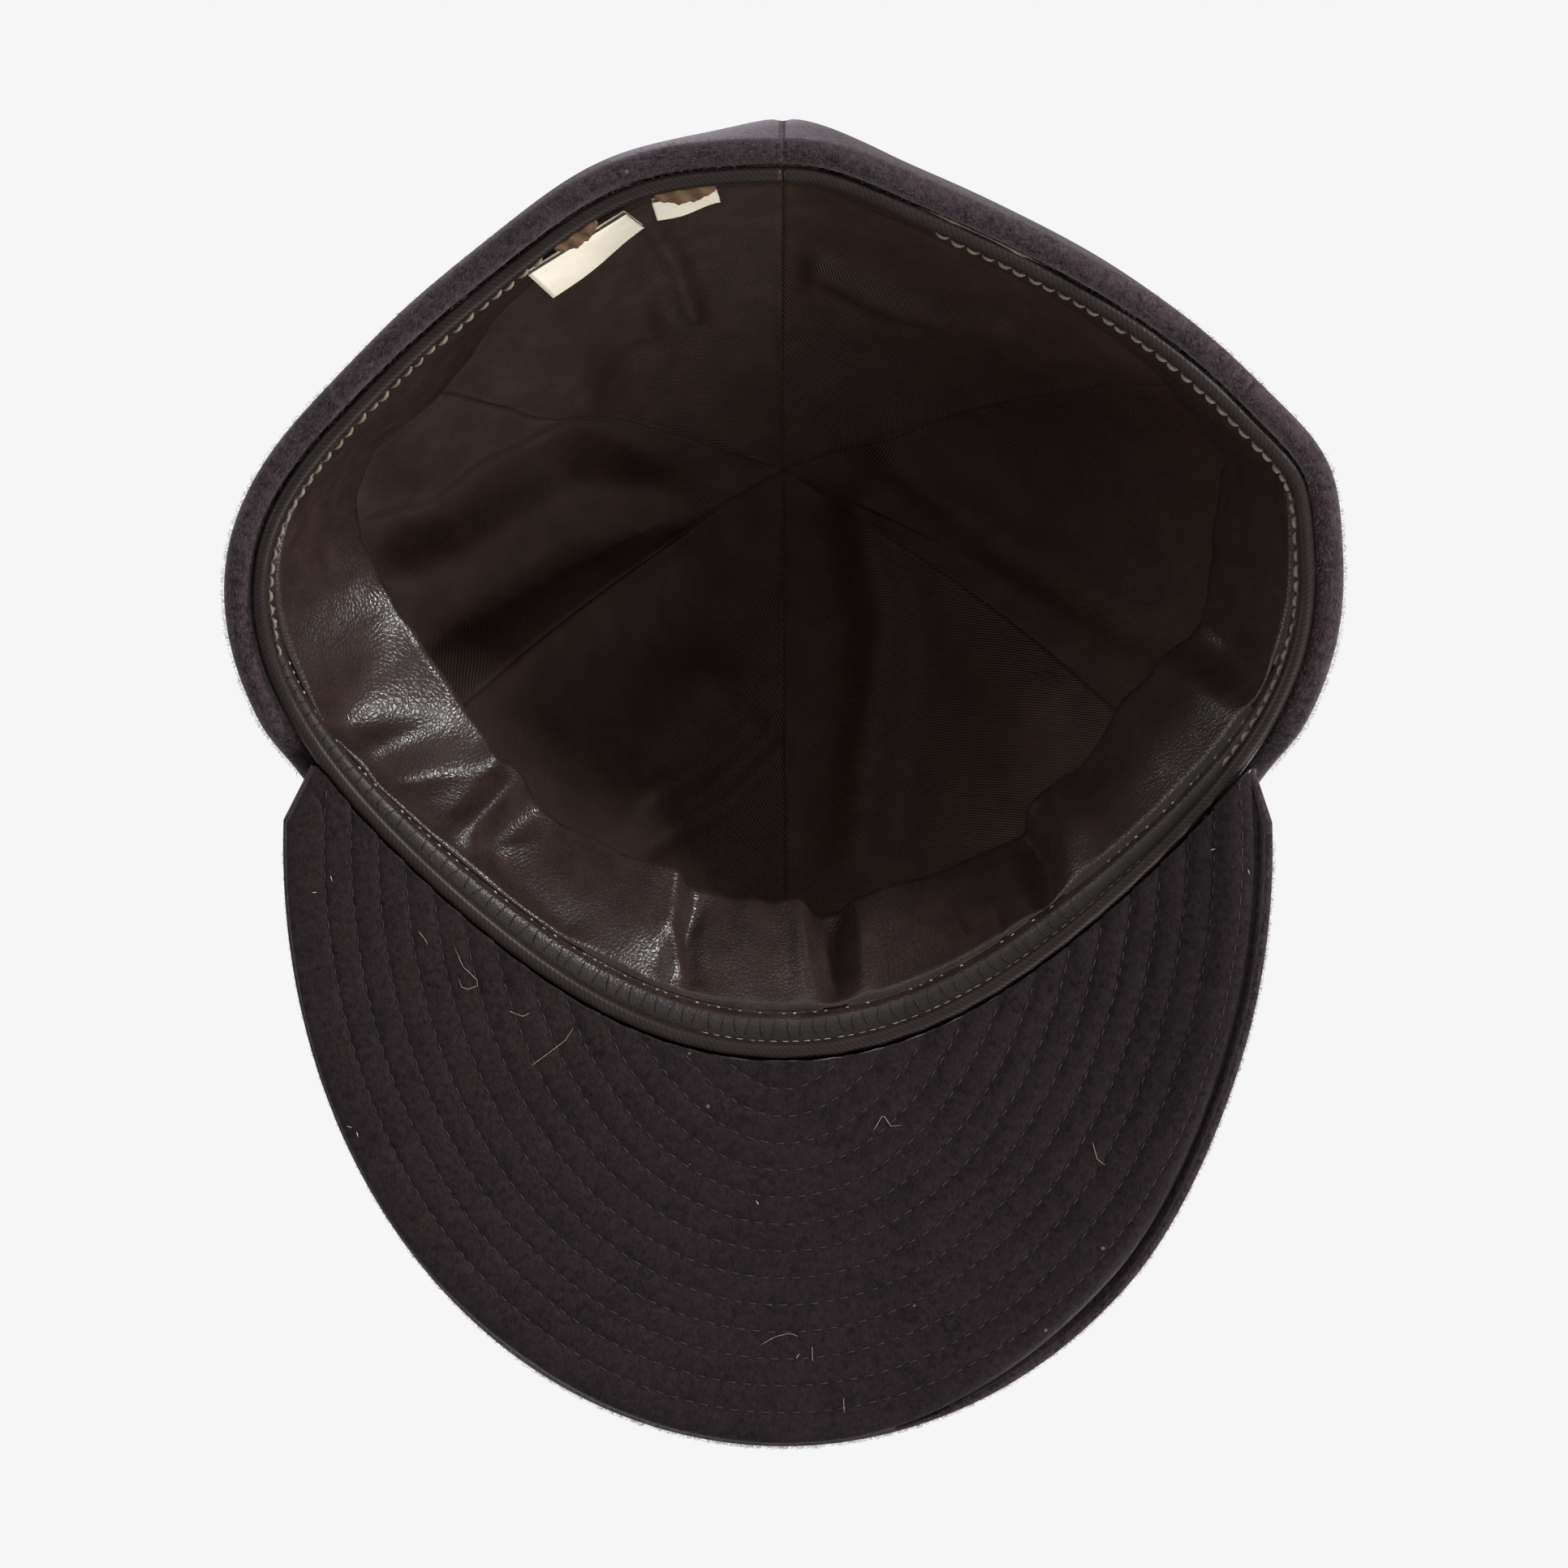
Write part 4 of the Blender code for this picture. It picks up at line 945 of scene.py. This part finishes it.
uneven = np.where(np.arange(len(FRONT_TICKS)) % 2, 1, -1) * rng.uniform(0.0003, 0.0011, len(FRONT_TICKS))
lift = LEATHER / 2 + np.array([-0.0002, 0.00005, 0.0001, 0.00005, -0.0002])
ticks = strip_threads_and_highlight(FRONT_TICKS, np.linspace(0.16, 0.86, 5), uneven, 0.0, lift)
add_tubes("strip_stitches", ticks, 0.0002, SLIT_THREAD)

shown = GROOVE_DOTS[rng.uniform(0, 1, len(GROOVE_DOTS)) < 0.6]
level = np.zeros(len(shown))
dots = strip_threads_and_highlight(shown, np.full(4, 0.97), level, np.linspace(-0.0004, 0.0004, 4), LEATHER / 2 + 0.0003)
girth = rng.uniform(0.00006, 0.00018, len(dots))
add_tubes("groove_stitches", dots, girth, PALE_THREAD_AND_HIGHLIGHT)

# Pale dashes beside the cord are a painted highlight: the light caught on the strip's folded edge, as thin
# pale tubes
level = np.zeros(len(HIGHLIGHT_DASHES))
highlight_dashes = strip_threads_and_highlight(HIGHLIGHT_DASHES, np.full(4, 0.1), level, np.linspace(-0.0008, 0.0008, 4), LEATHER / 2 + 0.00012)
girth = rng.uniform(0.00005, 0.0001, len(highlight_dashes))
add_tubes("strip_painted_highlight", highlight_dashes, girth, PALE_THREAD_AND_HIGHLIGHT)

# %% Chain of loops beside the cord, at the sides and back
CHAIN_PITCH, CHAIN_BEAD, CHAIN_RADIUS = 0.0035, 0.0029, 0.0005
CHAIN_STEPS = np.concatenate([np.arange(-0.285, -0.118, CHAIN_PITCH), np.arange(0.150, 0.262, CHAIN_PITCH)])
steps = places_from_front(CHAIN_STEPS)[:, None] + CHAIN_BEAD * np.linspace(-0.5, 0.5, 5)
belly = np.cos(np.linspace(-0.5, 0.5, 5) * math.pi)
beside = CORD_INSET + TAPE_RADIUS + TAPE / 2 + 0.0002
chain = on_rim(steps, beside + 0.0004 * belly, CORD_HEIGHT + 0.0010 - 0.0003 * belly)
chain += rng.normal(0, 0.00008, (len(chain), 1, 3))
girth = rng.uniform(0.8, 1.1, len(chain)) * CHAIN_RADIUS
add_tubes("cord_chain", chain, girth, BEIGE_THREAD, sides=6)

# %% [markdown]
# ## Corded edge
# A coated tape is folded round a thin cord and sewn between lining and leather. It shows as a smooth round
# edge all the way round the opening. Its section is most of a circle that runs out into a flat flange.

# %% Edge tape
leave = math.acos((FLANGE_INSET - CORD_INSET) / TAPE_RADIUS)
flange_foot = CORD_HEIGHT + TAPE_RADIUS * math.sin(leave)
round_cord = np.linspace(leave, math.radians(45) + 2 * math.pi, 26)[1:]
section_inset = np.concatenate([
    np.linspace(FLANGE_INSET + FLANGE_LEAN, FLANGE_INSET, 5),
    CORD_INSET + TAPE_RADIUS * np.cos(round_cord),
])
section_height = np.concatenate([
    np.linspace(flange_foot + TAPE_FLANGE, flange_foot, 5),
    CORD_HEIGHT + TAPE_RADIUS * np.sin(round_cord),
])
places = loop_places(CORD_INSET, 641)
points = np.array([on_rim(places, inset, height) for inset, height in zip(section_inset, section_height)])
gone = running_total(np.hypot(np.diff(section_inset), np.diff(section_height)))
flat_map = flat_grid(places, gone)
tape = add_sheet("coated_edge_tape", points, TAPE, [COATED_TAPE], flat_map)
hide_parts("edge_tape")

# %% [markdown]
# ## Visor
# The visor is a board between two wool cloths, quilted by rows of stitching that run parallel to its outer
# edge. The cloth sinks at each row and puffs between rows, so each point's height depends on its distance
# from the edge. The two cloths roll together at the edge seam.

# %% Visor plan and its distance from the edge
ROW_FIRST, ROW_SPACING, ROW_COUNT = 0.0065, 0.0054, 14
ROW_SINK, ROW_WIDTH, ROW_PUFF = 0.0004, 0.0007, 0.00022
DROOP, DROOP_FROM, DROOP_RUN = 0.0025, 0.066, 0.034
RIGHT_TRIM, LOWER_TRIM, LOWER_RIGHT_TRIM = 0.0019, 0.0009, 0.0024
UPPER_CURL, LOWER_CURL = 0.0014, 0.0021


def visor_root(shares):
    """Plan of the visor's inner edge on the rim, as x and forward, from the +X end to the -X end."""
    x, y = rim_plan(angle_at(VISOR_START + (VISOR_STOP - VISOR_START) * shares), ROOT_INSET)
    return np.stack([x, -y], axis=-1)


ROOT_ENDS = visor_root(np.array([0.0, 0.5]))
ROOT_FORWARD = ROOT_ENDS[1, 1]
VISOR_ARCH = (ROOT_FORWARD - ROOT_ENDS[0, 1]) * math.tan(VISOR_SLOPE) / ROOT_ENDS[0, 0] ** 2


def visor_outline(shares):
    """Plan of the outer edge: a long half ellipse between its two shoulders."""
    shoulder = ROOT_ENDS[0, 1] + VISOR_SHOULDER
    reach = ROOT_FORWARD + VISOR_LENGTH - shoulder
    start = math.asin((VISOR_END_EDGE - VISOR_SHOULDER) / reach)
    turn = start + (math.pi - 2 * start) * shares
    return np.stack([VISOR_HALF_WIDTH * np.cos(turn), shoulder + reach * np.sin(turn)], axis=-1)


def visor_middle(plan):
    """The middle surface: it falls forwards, arches across and droops at the -X side. Also its normal."""
    x, forward = plan[..., 0], plan[..., 1]
    side = np.clip((-x - DROOP_FROM) / DROOP_RUN, 0, 1.2)
    height = VISOR_THICKNESS / 2 - (forward - ROOT_FORWARD) * math.tan(VISOR_SLOPE) - VISOR_ARCH * x**2
    height = height - DROOP * side**2
    across = 2 * VISOR_ARCH * x - 2 * DROOP * side / DROOP_RUN
    normal = np.stack([across, np.full_like(x, -math.tan(VISOR_SLOPE)), np.ones_like(x)], axis=-1)
    return np.stack([x, -forward, height], axis=-1), unit(normal)


def turned_in(along):
    """Steps along the outline, turned by a quarter to point into the visor, of length one."""
    return unit(np.stack([-along[:, 1], along[:, 0]], axis=-1))


def cut_outline(shares, side):
    """The outline of one cloth: trimmed a little at the -X side, and the lower cloth more than the upper."""
    edge = visor_outline(shares)
    along = visor_outline(shares + 1e-4) - visor_outline(shares - 1e-4)
    trim = RIGHT_TRIM * smooth((-edge[:, 0] - 0.07) / 0.025)
    if side < 0:
        left, right = smooth((edge[:, 0] - 0.05) / 0.03), smooth((-edge[:, 0] - 0.01) / 0.06)
        trim = trim + LOWER_TRIM + LOWER_RIGHT_TRIM * right - LOWER_TRIM * left
    return edge + turned_in(along) * trim[:, None]


def edge_line(side):
    """The outer line of one cloth with the short edges at its two ends."""
    ends = visor_root(np.array([0.0, 1.0]))
    return np.concatenate([ends[:1], cut_outline(np.linspace(0, 1, 500), side), ends[1:]])


EDGE_LINES = {side: edge_line(side) for side in (-1, 1)}
OUTLINE = visor_outline(np.linspace(0, 1, 500))


def distance_to(line, plan):
    """Least distance from plan points to a line of points."""
    start, step = line[:-1], np.diff(line, axis=0)
    flat = plan.reshape(-1, 2)
    found = []
    for part in np.array_split(flat, max(1, len(flat) // 4000)):
        away = part[:, None] - start
        share = np.clip((away * step).sum(-1) / (step * step).sum(-1), 0, 1)
        found.append(np.linalg.norm(away - share[..., None] * step, axis=-1).min(1))
    return np.concatenate(found).reshape(plan.shape[:-1])


def quilt(from_edge):
    """Sinks by a bell curve at each stitch row and puffs as a sine between rows."""
    phase = (from_edge - ROW_FIRST) / ROW_SPACING
    nearest = np.clip(np.round(phase), 0, ROW_COUNT - 1)
    off = from_edge - ROW_FIRST - nearest * ROW_SPACING
    return ROW_PUFF * np.sin(math.pi * phase) ** 2 - ROW_SINK * np.exp(-((off / ROW_WIDTH) ** 2))


def visor_face(plan, side):
    """A cloth's middle surface: the roll to the edge seam, then the quilting, to one side of the middle."""
    middle, normal = visor_middle(plan)
    roll = np.sqrt(1 - (1 - np.clip(distance_to(EDGE_LINES[side], plan) / EDGE_ROLL, 0, 1)) ** 2)
    curl = (UPPER_CURL if side > 0 else LOWER_CURL) * smooth((-plan[..., 0] - 0.01) / 0.06) * (1 - roll)
    height = EDGE_MID_HEIGHT + (FACE_MID_HEIGHT - EDGE_MID_HEIGHT) * roll - curl
    height = height + quilt(distance_to(OUTLINE, plan)) * smooth((roll - 0.6) / 0.4)
    return middle + side * height[..., None] * normal


# %% The two visor cloths
even = np.linspace(0, 1, 261)
columns = 0.45 * even + 0.55 * (0.5 - 0.5 * np.cos(math.pi * even))
inner = visor_root(columns)


def visor_grid(side):
    """Plan of a cloth: rows from the root to the roll, then closer rows round the roll."""
    outer = cut_outline(columns, side)
    run = np.linalg.norm(outer - inner, axis=-1)[:, None]
    inward = np.concatenate([
        np.linspace(0, 1, 126)[:, None, None] * (1 - EDGE_ROLL / run),
        1 - EDGE_ROLL / run * (1 - np.sin(np.linspace(0, math.pi / 2, 13)[1:]))[:, None, None],
    ])
    return inner + (outer - inner) * inward


visor_points = {}
for cloth_name, node_name, side, wool in (
    ("visor_top", "visor_upper_cloth", 1, LIT_CROWN_WOOL),
    ("visor_under", "visor_lower_cloth", -1, SHADED_VISOR_WOOL),
):
    points = visor_points[side] = visor_face(visor_grid(side), side)
    cloth = add_sheet(f"wool_{cloth_name}", points, VISOR_CLOTH, [wool])
    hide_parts(node_name)

# %% Board between the cloths
BOARD_MARGIN = 0.0046
outer = cut_outline(columns, -1)
run = np.linalg.norm(outer - inner, axis=-1)[:, None]
stop = 1 - BOARD_MARGIN / run
points = visor_middle(inner + (outer - inner) * np.linspace(0.02, 1, 40)[:, None, None] * stop)[0]
board = add_sheet("card_visor_board", points, BOARD, [GREY_CARD])
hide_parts("visor_board")

# %% Rows of visor stitching
STITCH_PITCH, STITCH_LENGTH, STITCH_LIFT, THREAD_RADIUS = 0.0032, 0.0021, 0.00012, 0.00015


def stitch_paths(centres, along, away, length, lift):
    """Short arched stitches: four points along the seam, the two ends sunk in the cloth."""
    along = unit(along)
    shares = np.array([-0.5, -0.25, 0.25, 0.5])
    heights = np.array([-1.2, 1.0, 1.0, -1.2]) * lift
    return centres[:, None] + length * shares[:, None] * along[:, None] + heights[:, None] * away[:, None]


def visor_rows(side):
    """Offset curves of the outline, cut where they meet the root, with a stitch at each pitch."""
    paths = []
    edge = visor_outline(np.linspace(-0.02, 1.02, 700))
    inwards = turned_in(np.gradient(edge, axis=0))
    root = visor_root(np.linspace(0, 1, 200))
    order = np.argsort(root[:, 0])
    for row in range(ROW_COUNT):
        line = edge + inwards * (ROW_FIRST + row * ROW_SPACING)
        plan = resample(line, STITCH_PITCH)
        root_forward = np.interp(plan[:, 0], root[order, 0], root[order, 1], left=-1, right=-1)
        ends = [distance_to(np.array([root[end], OUTLINE[end]]), plan) for end in (0, -1)]
        kept = (plan[:, 1] > root_forward + 0.0015) & (np.minimum(*ends) > 0.002)
        kept &= distance_to(OUTLINE, plan) > 0.9 * ROW_FIRST
        plan = plan[kept & (plan[:, 1] > ROOT_ENDS[0, 1])]
        if len(plan) < 4:
            continue
        middle, normal = visor_middle(plan)
        centres = visor_face(plan, side) + side * normal * (VISOR_CLOTH / 2 + 0.00004)
        along = np.gradient(centres, axis=0)
        paths.append(stitch_paths(centres, along, side * normal, STITCH_LENGTH, STITCH_LIFT))
    return np.concatenate(paths)


for side, row_name in ((-1, "visor_under_stitching"), (1, "visor_top_stitching")):
    add_tubes(row_name, visor_rows(side), THREAD_RADIUS, DARK_THREAD)

# %% [markdown]
# ## Top button
# A small disc covered in the same wool sits where the panels meet. It is a dome carried round its axis, with
# shallow pleats where the cloth is gathered underneath.

# %% Cloth-covered button
turn = np.linspace(0, 2 * math.pi, 97)
dome = np.linspace(0.02, math.pi / 2, 20)
radius = np.concatenate([BUTTON_RADIUS * np.sin(dome), BUTTON_RADIUS - np.array([0.0002, 0.0006, 0.0018])])
domed = BUTTON_SKIRT + (BUTTON_HEIGHT - BUTTON_SKIRT) * np.cos(dome)
height = np.concatenate([domed, [0.0007, 0.0002, 0.0001]])
pleat = 1 - 0.025 * smooth((radius / BUTTON_RADIUS - 0.6) / 0.4)[:, None] * (0.5 + 0.5 * np.cos(14 * turn))
points = np.stack(
    [
        radius[:, None] * pleat * np.cos(turn),
        APEX_BACK + radius[:, None] * pleat * np.sin(turn),
        np.broadcast_to((CROWN_HEIGHT + CLEARANCE + height)[:, None], pleat.shape),
    ],
    axis=-1,
)
button = add_piece("wool_top_button", points, grid_faces(*points.shape[:2]), [LIT_CROWN_WOOL])
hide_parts("top_button")

# %% [markdown]
# ## Labels
# Two folded ribbons are caught in the back of the sweatband's seam. Each is a strip that rises from its sewn
# line, turns over in a tight half circle and comes back down. It leans off the band, more at one end, so that
# it stays clear of the leather when it swings back. The ribbons are plain.

# %% Folded labels
LABELS = (
    ("care_label", 0.023, 0.015, CREAM_RIBBON),
    ("size_label", 0.013, 0.009, CREAM_RIBBON),
)


def label_points(swing, width, length):
    """A ribbon's section (up one ply, round the fold, down the other) carried across its width."""
    origin = (np.array(swing["pos_m"]) - CAP_PLACE) @ CAP_TURN
    along = np.array(swing["axis"]) @ CAP_TURN
    inwards = np.cross(along, [0, 0, 1])
    inwards = inwards if inwards @ (origin * [1, 1, 0]) < 0 else -inwards
    shares = np.linspace(-0.5, 0.5, 25)
    lean = (LABEL_LEAN + LABEL_TWIST * (shares + 0.5))[:, None]
    up = np.array([0, 0, 1]) * np.cos(lean) + inwards * np.sin(lean)
    face = np.cross(along, up)
    straight = length - LABEL_FOLD
    ply = np.linspace(0, straight, 16)
    bend = np.linspace(0, math.pi, 9)[1:-1]
    reach = np.concatenate([ply, straight + LABEL_FOLD * np.sin(bend), ply[::-1]])
    off = np.concatenate([np.full(16, LABEL_FOLD), LABEL_FOLD * np.cos(bend), np.full(16, -LABEL_FOLD)])
    wave = 0.0003 * (1 + np.sin(2 * math.pi * shares[None] + 0.8)) * (reach / length)[:, None] ** 2
    points = origin + width * shares[None, :, None] * along + reach[:, None, None] * up[None]
    points = points + (off[:, None] + wave)[..., None] * face[None]
    gone = running_total(np.hypot(np.diff(reach), np.diff(off)))
    return points, flat_grid(width * shares, gone)


swings = {joint["name"]: joint for joint in frame["record"]["behaviour"]["joints"]}
for label_name, width, length, ribbon in LABELS:
    points, flat_map = label_points(swings[f"{label_name}_swing"], width, length)
    label = add_sheet(f"ribbon_{label_name}", points, LABEL_RIBBON, [ribbon], flat_map, f"{label_name}_flap")
    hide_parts(label_name)

# %% Raw leather ends beside the labels
# Each scrap: its name, where it starts and stops along the rim from the back seam, and how far it reaches in
LEATHER_TABS = (("leather_tab_left", 0.043, 0.054, 0.0032), ("leather_tab_right", 0.014, 0.028, 0.0034))
TAB_INSET, TAB_THICKNESS = CORD_INSET + TAPE_RADIUS + 0.0001, 0.0005


def leather_tab(start, stop, inset, depth):
    """A small scrap that lies under the cord: a grid along the rim with an uneven outline."""
    along = np.linspace(0, 1, 41)
    across = np.linspace(0, 1, 9)[:, None]
    ragged = 0.85 + 0.05 * np.sin(along * 23) + 0.03 * np.sin(along * 51 + 1)
    ragged = ragged * np.sqrt(np.clip(np.sin(math.pi * np.clip(along, 0.02, 0.98)), 0, 1))
    places = start + (stop - start) * along + 0 * across
    height = CORD_HEIGHT - 0.0004 + 0.0005 * across**2 + 0.0002 * np.sin(along * 17 + 2 * across)
    return on_rim(places, inset + depth * ragged * across, height)


for tab_name, start, stop, depth in LEATHER_TABS:
    tab = add_sheet(tab_name, leather_tab(start, stop, TAB_INSET, depth), TAB_THICKNESS, [RAW_SUEDE])

# %% [markdown]
# ## Loose nap
# Felted wool is never clean-edged: fibres stand off the hem and off the visor's edge. Each is a short bent
# tube on a random place of the roll, pointing outwards with some scatter. A few longer pale hairs and bits of
# lint lie on the visor, placed where the photograph shows them.

# %% Fibres on the hem and on the visor's edge
# The fibres' pale colour is partly their own tone and partly a painted sheen along the hem and the visor's
# edge
HEM_FIBRES, EDGE_FIBRES, FIBRE_RADIUS, FIBRE_SCATTER = 16000, 5000, 0.00003, 0.8
FIBRE_SHORTEST, FIBRE_LONGEST = 0.0005, 0.0012


def standing_fibres(roots, outwards, along, length, spread_out):
    """Three-point paths: from the surface outwards, bent along it by a random share."""
    count = len(roots)
    lean = rng.normal(0, spread_out, (2, count, 1))
    step = outwards + lean[0] * along
    middle = roots + 0.5 * length * step
    tip = middle + 0.5 * length * (step * 0.6 + lean[1] * along)
    return np.stack([roots - 0.0001 * outwards, middle, tip], axis=1)


def hem_point(angles, turn, radius):
    """A point round the hem's turn at this radius from the middle of the turn."""
    point = crown_point(angles, 0.0, WOOL / 2 + HEM_TURN + radius * np.cos(turn))
    return point - np.stack([0 * turn, 0 * turn, radius * np.sin(turn)], axis=-1)


angles = angle_at(rng.uniform(0, RIM_LENGTH, HEM_FIBRES))
angles = angles[np.abs(angles - math.pi) > math.pi - VISOR_END]
turn = rng.uniform(0.1, 1.0, len(angles)) * math.pi
roots = hem_point(angles, turn, HEM_TURN + WOOL / 2)
outwards = unit(roots - hem_point(angles, turn, HEM_TURN))
along = unit(hem_point(angles + 1e-3, turn, HEM_TURN) - hem_point(angles, turn, HEM_TURN))
lengths = rng.uniform(FIBRE_SHORTEST, FIBRE_LONGEST, (len(roots), 1))
hem_fibres = standing_fibres(roots, outwards, along, lengths, FIBRE_SCATTER)
add_tubes("hem_nap", hem_fibres, FIBRE_RADIUS, PALE_FIBRE_AND_SHEEN, sides=3)

shares = rng.uniform(0.01, 0.99, EDGE_FIBRES)
edge = cut_outline(shares, 1)
middle, normal = visor_middle(edge)
off = rng.uniform(-1, 1, (len(edge), 1))
ahead = visor_middle(cut_outline(shares + 1e-3, 1))[0] - middle
along = unit(ahead)
outwards = unit(np.cross(along, normal))
outwards = outwards * np.sign((outwards * (middle - visor_middle(inner[130:131])[0])).sum(-1, keepdims=True))
direction = unit(outwards * np.sqrt(1 - 0.8 * off**2) + off * normal)
roots = middle - outwards * 0.0006 + direction * 0.0011
lengths = rng.uniform(FIBRE_SHORTEST, FIBRE_LONGEST, (len(roots), 1))
edge_fibres = standing_fibres(roots, direction, along, lengths, FIBRE_SCATTER)
add_tubes("visor_edge_nap", edge_fibres, FIBRE_RADIUS, PALE_FIBRE_AND_SHEEN, sides=3)

# %% Pale hairs and lint on the visor
# Image pixels that each hair passes through, and those of the bits of lint
HAIRS = (
    ((937, 1656), (953, 1646), (972, 1641), (981, 1646)),
    ((998, 1660), (1001, 1668), (1004, 1676)),
    ((1042, 1721), (1044, 1730), (1042, 1740)),
    ((1076, 1392), (1090, 1374), (1096, 1388), (1112, 1386)),
    ((518, 1148), (522, 1156), (528, 1164)),
    ((560, 1168), (572, 1190), (592, 1212), (574, 1222), (566, 1206)),
    ((704, 1266), (694, 1282), (672, 1300), (655, 1312)),
    ((625, 1246), (642, 1252), (655, 1250)),
    ((1343, 1408), (1350, 1428), (1360, 1436)),
)
LINT_BITS = (
    (935, 1483), (979, 1672), (1494, 1046), (1537, 1074), (410, 1084), (388, 1100), (433, 1390), (440, 1398),
)
LINT_LENGTH = 0.0012


def on_surface(points, pixels, lift):
    """The surface points whose place in the image is nearest to these pixels, lifted towards the eye."""
    flat = points.reshape(-1, 3)
    image = seen(flat)
    nearest = [np.argmin(((image - pixel) ** 2).sum(-1)) for pixel in np.asarray(pixels, float)]
    return flat[nearest] - lift * view_ahead


visor_under = visor_points[-1]
hairs = []
for line in HAIRS:
    path = on_surface(visor_under, line, VISOR_CLOTH / 2 + 0.0002)
    hairs.append(resample(path, count=9))
add_tubes("stray_hairs", np.array(hairs), 0.00004, PALE_THREAD_AND_HIGHLIGHT, sides=4)
bits = on_surface(visor_under, LINT_BITS, VISOR_CLOTH / 2 + 0.0001)
lying = unit(rng.normal(0, 1, (len(bits), 1, 3)) * [1, 1, 0.1])
lint = bits[:, None] + np.linspace(-0.5, 0.5, 3)[:, None] * lying * LINT_LENGTH
add_tubes("lint_bits", lint, 0.00011, PALE_THREAD_AND_HIGHLIGHT, sides=4)

# %% [markdown]
# ## Hidden pieces
# The cord in its tape and the tack under the button keep their CAD shape. They only get a finish: twisted
# cotton and plain steel.

# %% Finishes of the carried-over solids
for node_name, finish in (("edge_cord", COTTON_CORD), ("button_tack", TACK_STEEL)):
    slots = frame["nodes"][node_name].data.materials
    slots.clear()
    slots.append(finish)

# %% [markdown]
# ## Floor and light
# The cap stands on a plain pale floor. The camera looks up from below it, so the floor shows only its upper
# face and lets the lower lamps through. A small key lamp from the right of the image draws the gloss on the
# leather, soft fills from the left, back, front and camera lift the rest of the inside, and two lamps above
# light the crown for the other views.

# %% Floor
BACKGROUND = linear(246, 246, 246)
FLOOR_HALF = 3.0
corners = np.array([[-1, -1, 0], [1, -1, 0], [1, 1, 0], [-1, 1, 0]]) * FLOOR_HALF
mesh = bpy.data.meshes.new("floor")
mesh.from_pydata(corners.tolist(), [], [(0, 1, 2, 3)])
floor = bpy.data.objects.new("floor", mesh)
bpy.context.scene.collection.objects.link(floor)
paper = bpy.data.materials.new("pale_paper")
paper.use_nodes = True
tree = paper.node_tree
surface = tree.nodes["Principled BSDF"]
surface.inputs["Base Color"].default_value = (0.8, 0.8, 0.8, 1)
surface.inputs["Roughness"].default_value = 0.9
below = put(tree, "ShaderNodeNewGeometry").outputs["Backfacing"]
clear = put(tree, "ShaderNodeBsdfTransparent").outputs[0]
one_way = put(tree, "ShaderNodeMixShader", {0: below, 1: surface.outputs[0], 2: clear}).outputs[0]
tree.links.new(one_way, tree.nodes["Material Output"].inputs["Surface"])
mesh.materials.append(paper)
floor.visible_shadow = floor.visible_diffuse = floor.visible_glossy = floor.visible_transmission = False

# %% World: the pale background for the eye and reflections, a plain ambient light for the rest
AMBIENT = 0.22
world = bpy.data.worlds.new("studio")
bpy.context.scene.world = world
world.use_nodes = True
tree = world.node_tree
light_path = put(tree, "ShaderNodeLightPath").outputs
shown = maths(tree, "MAXIMUM", light_path["Is Camera Ray"], light_path["Is Glossy Ray"])
shown = maths(tree, "MAXIMUM", shown, light_path["Is Transmission Ray"])
ambient = put(tree, "ShaderNodeBackground", {"Color": (1, 1, 1, 1), "Strength": AMBIENT}).outputs[0]
backdrop = put(tree, "ShaderNodeBackground", {"Color": BACKGROUND, "Strength": 1.0}).outputs[0]
both = put(tree, "ShaderNodeMixShader", {0: shown, 1: ambient, 2: backdrop}).outputs[0]
tree.links.new(both, tree.nodes["World Output"].inputs["Surface"])


# %% Lamps
def add_lamp(name, place, aim, watts, size):
    """A square soft lamp at a place, turned to face an aim."""
    lamp = bpy.data.objects.new(name, bpy.data.lights.new(name, "AREA"))
    bpy.context.scene.collection.objects.link(lamp)
    lamp.data.energy, lamp.data.size = watts, size
    lamp.location = place
    toward = Matrix.Translation(aim).translation - lamp.location
    lamp.rotation_mode = "QUATERNION"
    lamp.rotation_quaternion = toward.to_track_quat("-Z", "Y")
    return lamp


add_lamp("key_from_right", (-0.75, 0.50, -0.26), (0, 0, 0.02), 14.0, 0.16)
add_lamp("fill_from_left", (0.85, 0.20, -0.14), (0, 0, 0.0), 6.0, 0.5)
add_lamp("fill_from_back", (0.25, 0.85, -0.27), (0, 0, 0.0), 4.5, 0.9)
add_lamp("fill_from_front", (-0.52, -0.60, -0.46), (0.02, 0.03, 0.04), 8.0, 0.4)
add_lamp("fill_from_camera", (0.1, -0.35, -1.1), (0, 0, 0.04), 0.8, 0.8)
add_lamp("key_from_above", (-0.7, -0.8, 1.2), (0, 0, 0.05), 14.0, 0.6)
add_lamp("rim_from_above", (0.9, 0.7, 0.9), (0, 0, 0.05), 8.0, 0.6)

# %% Finish
bpy.context.scene.view_settings.view_transform = "Standard"
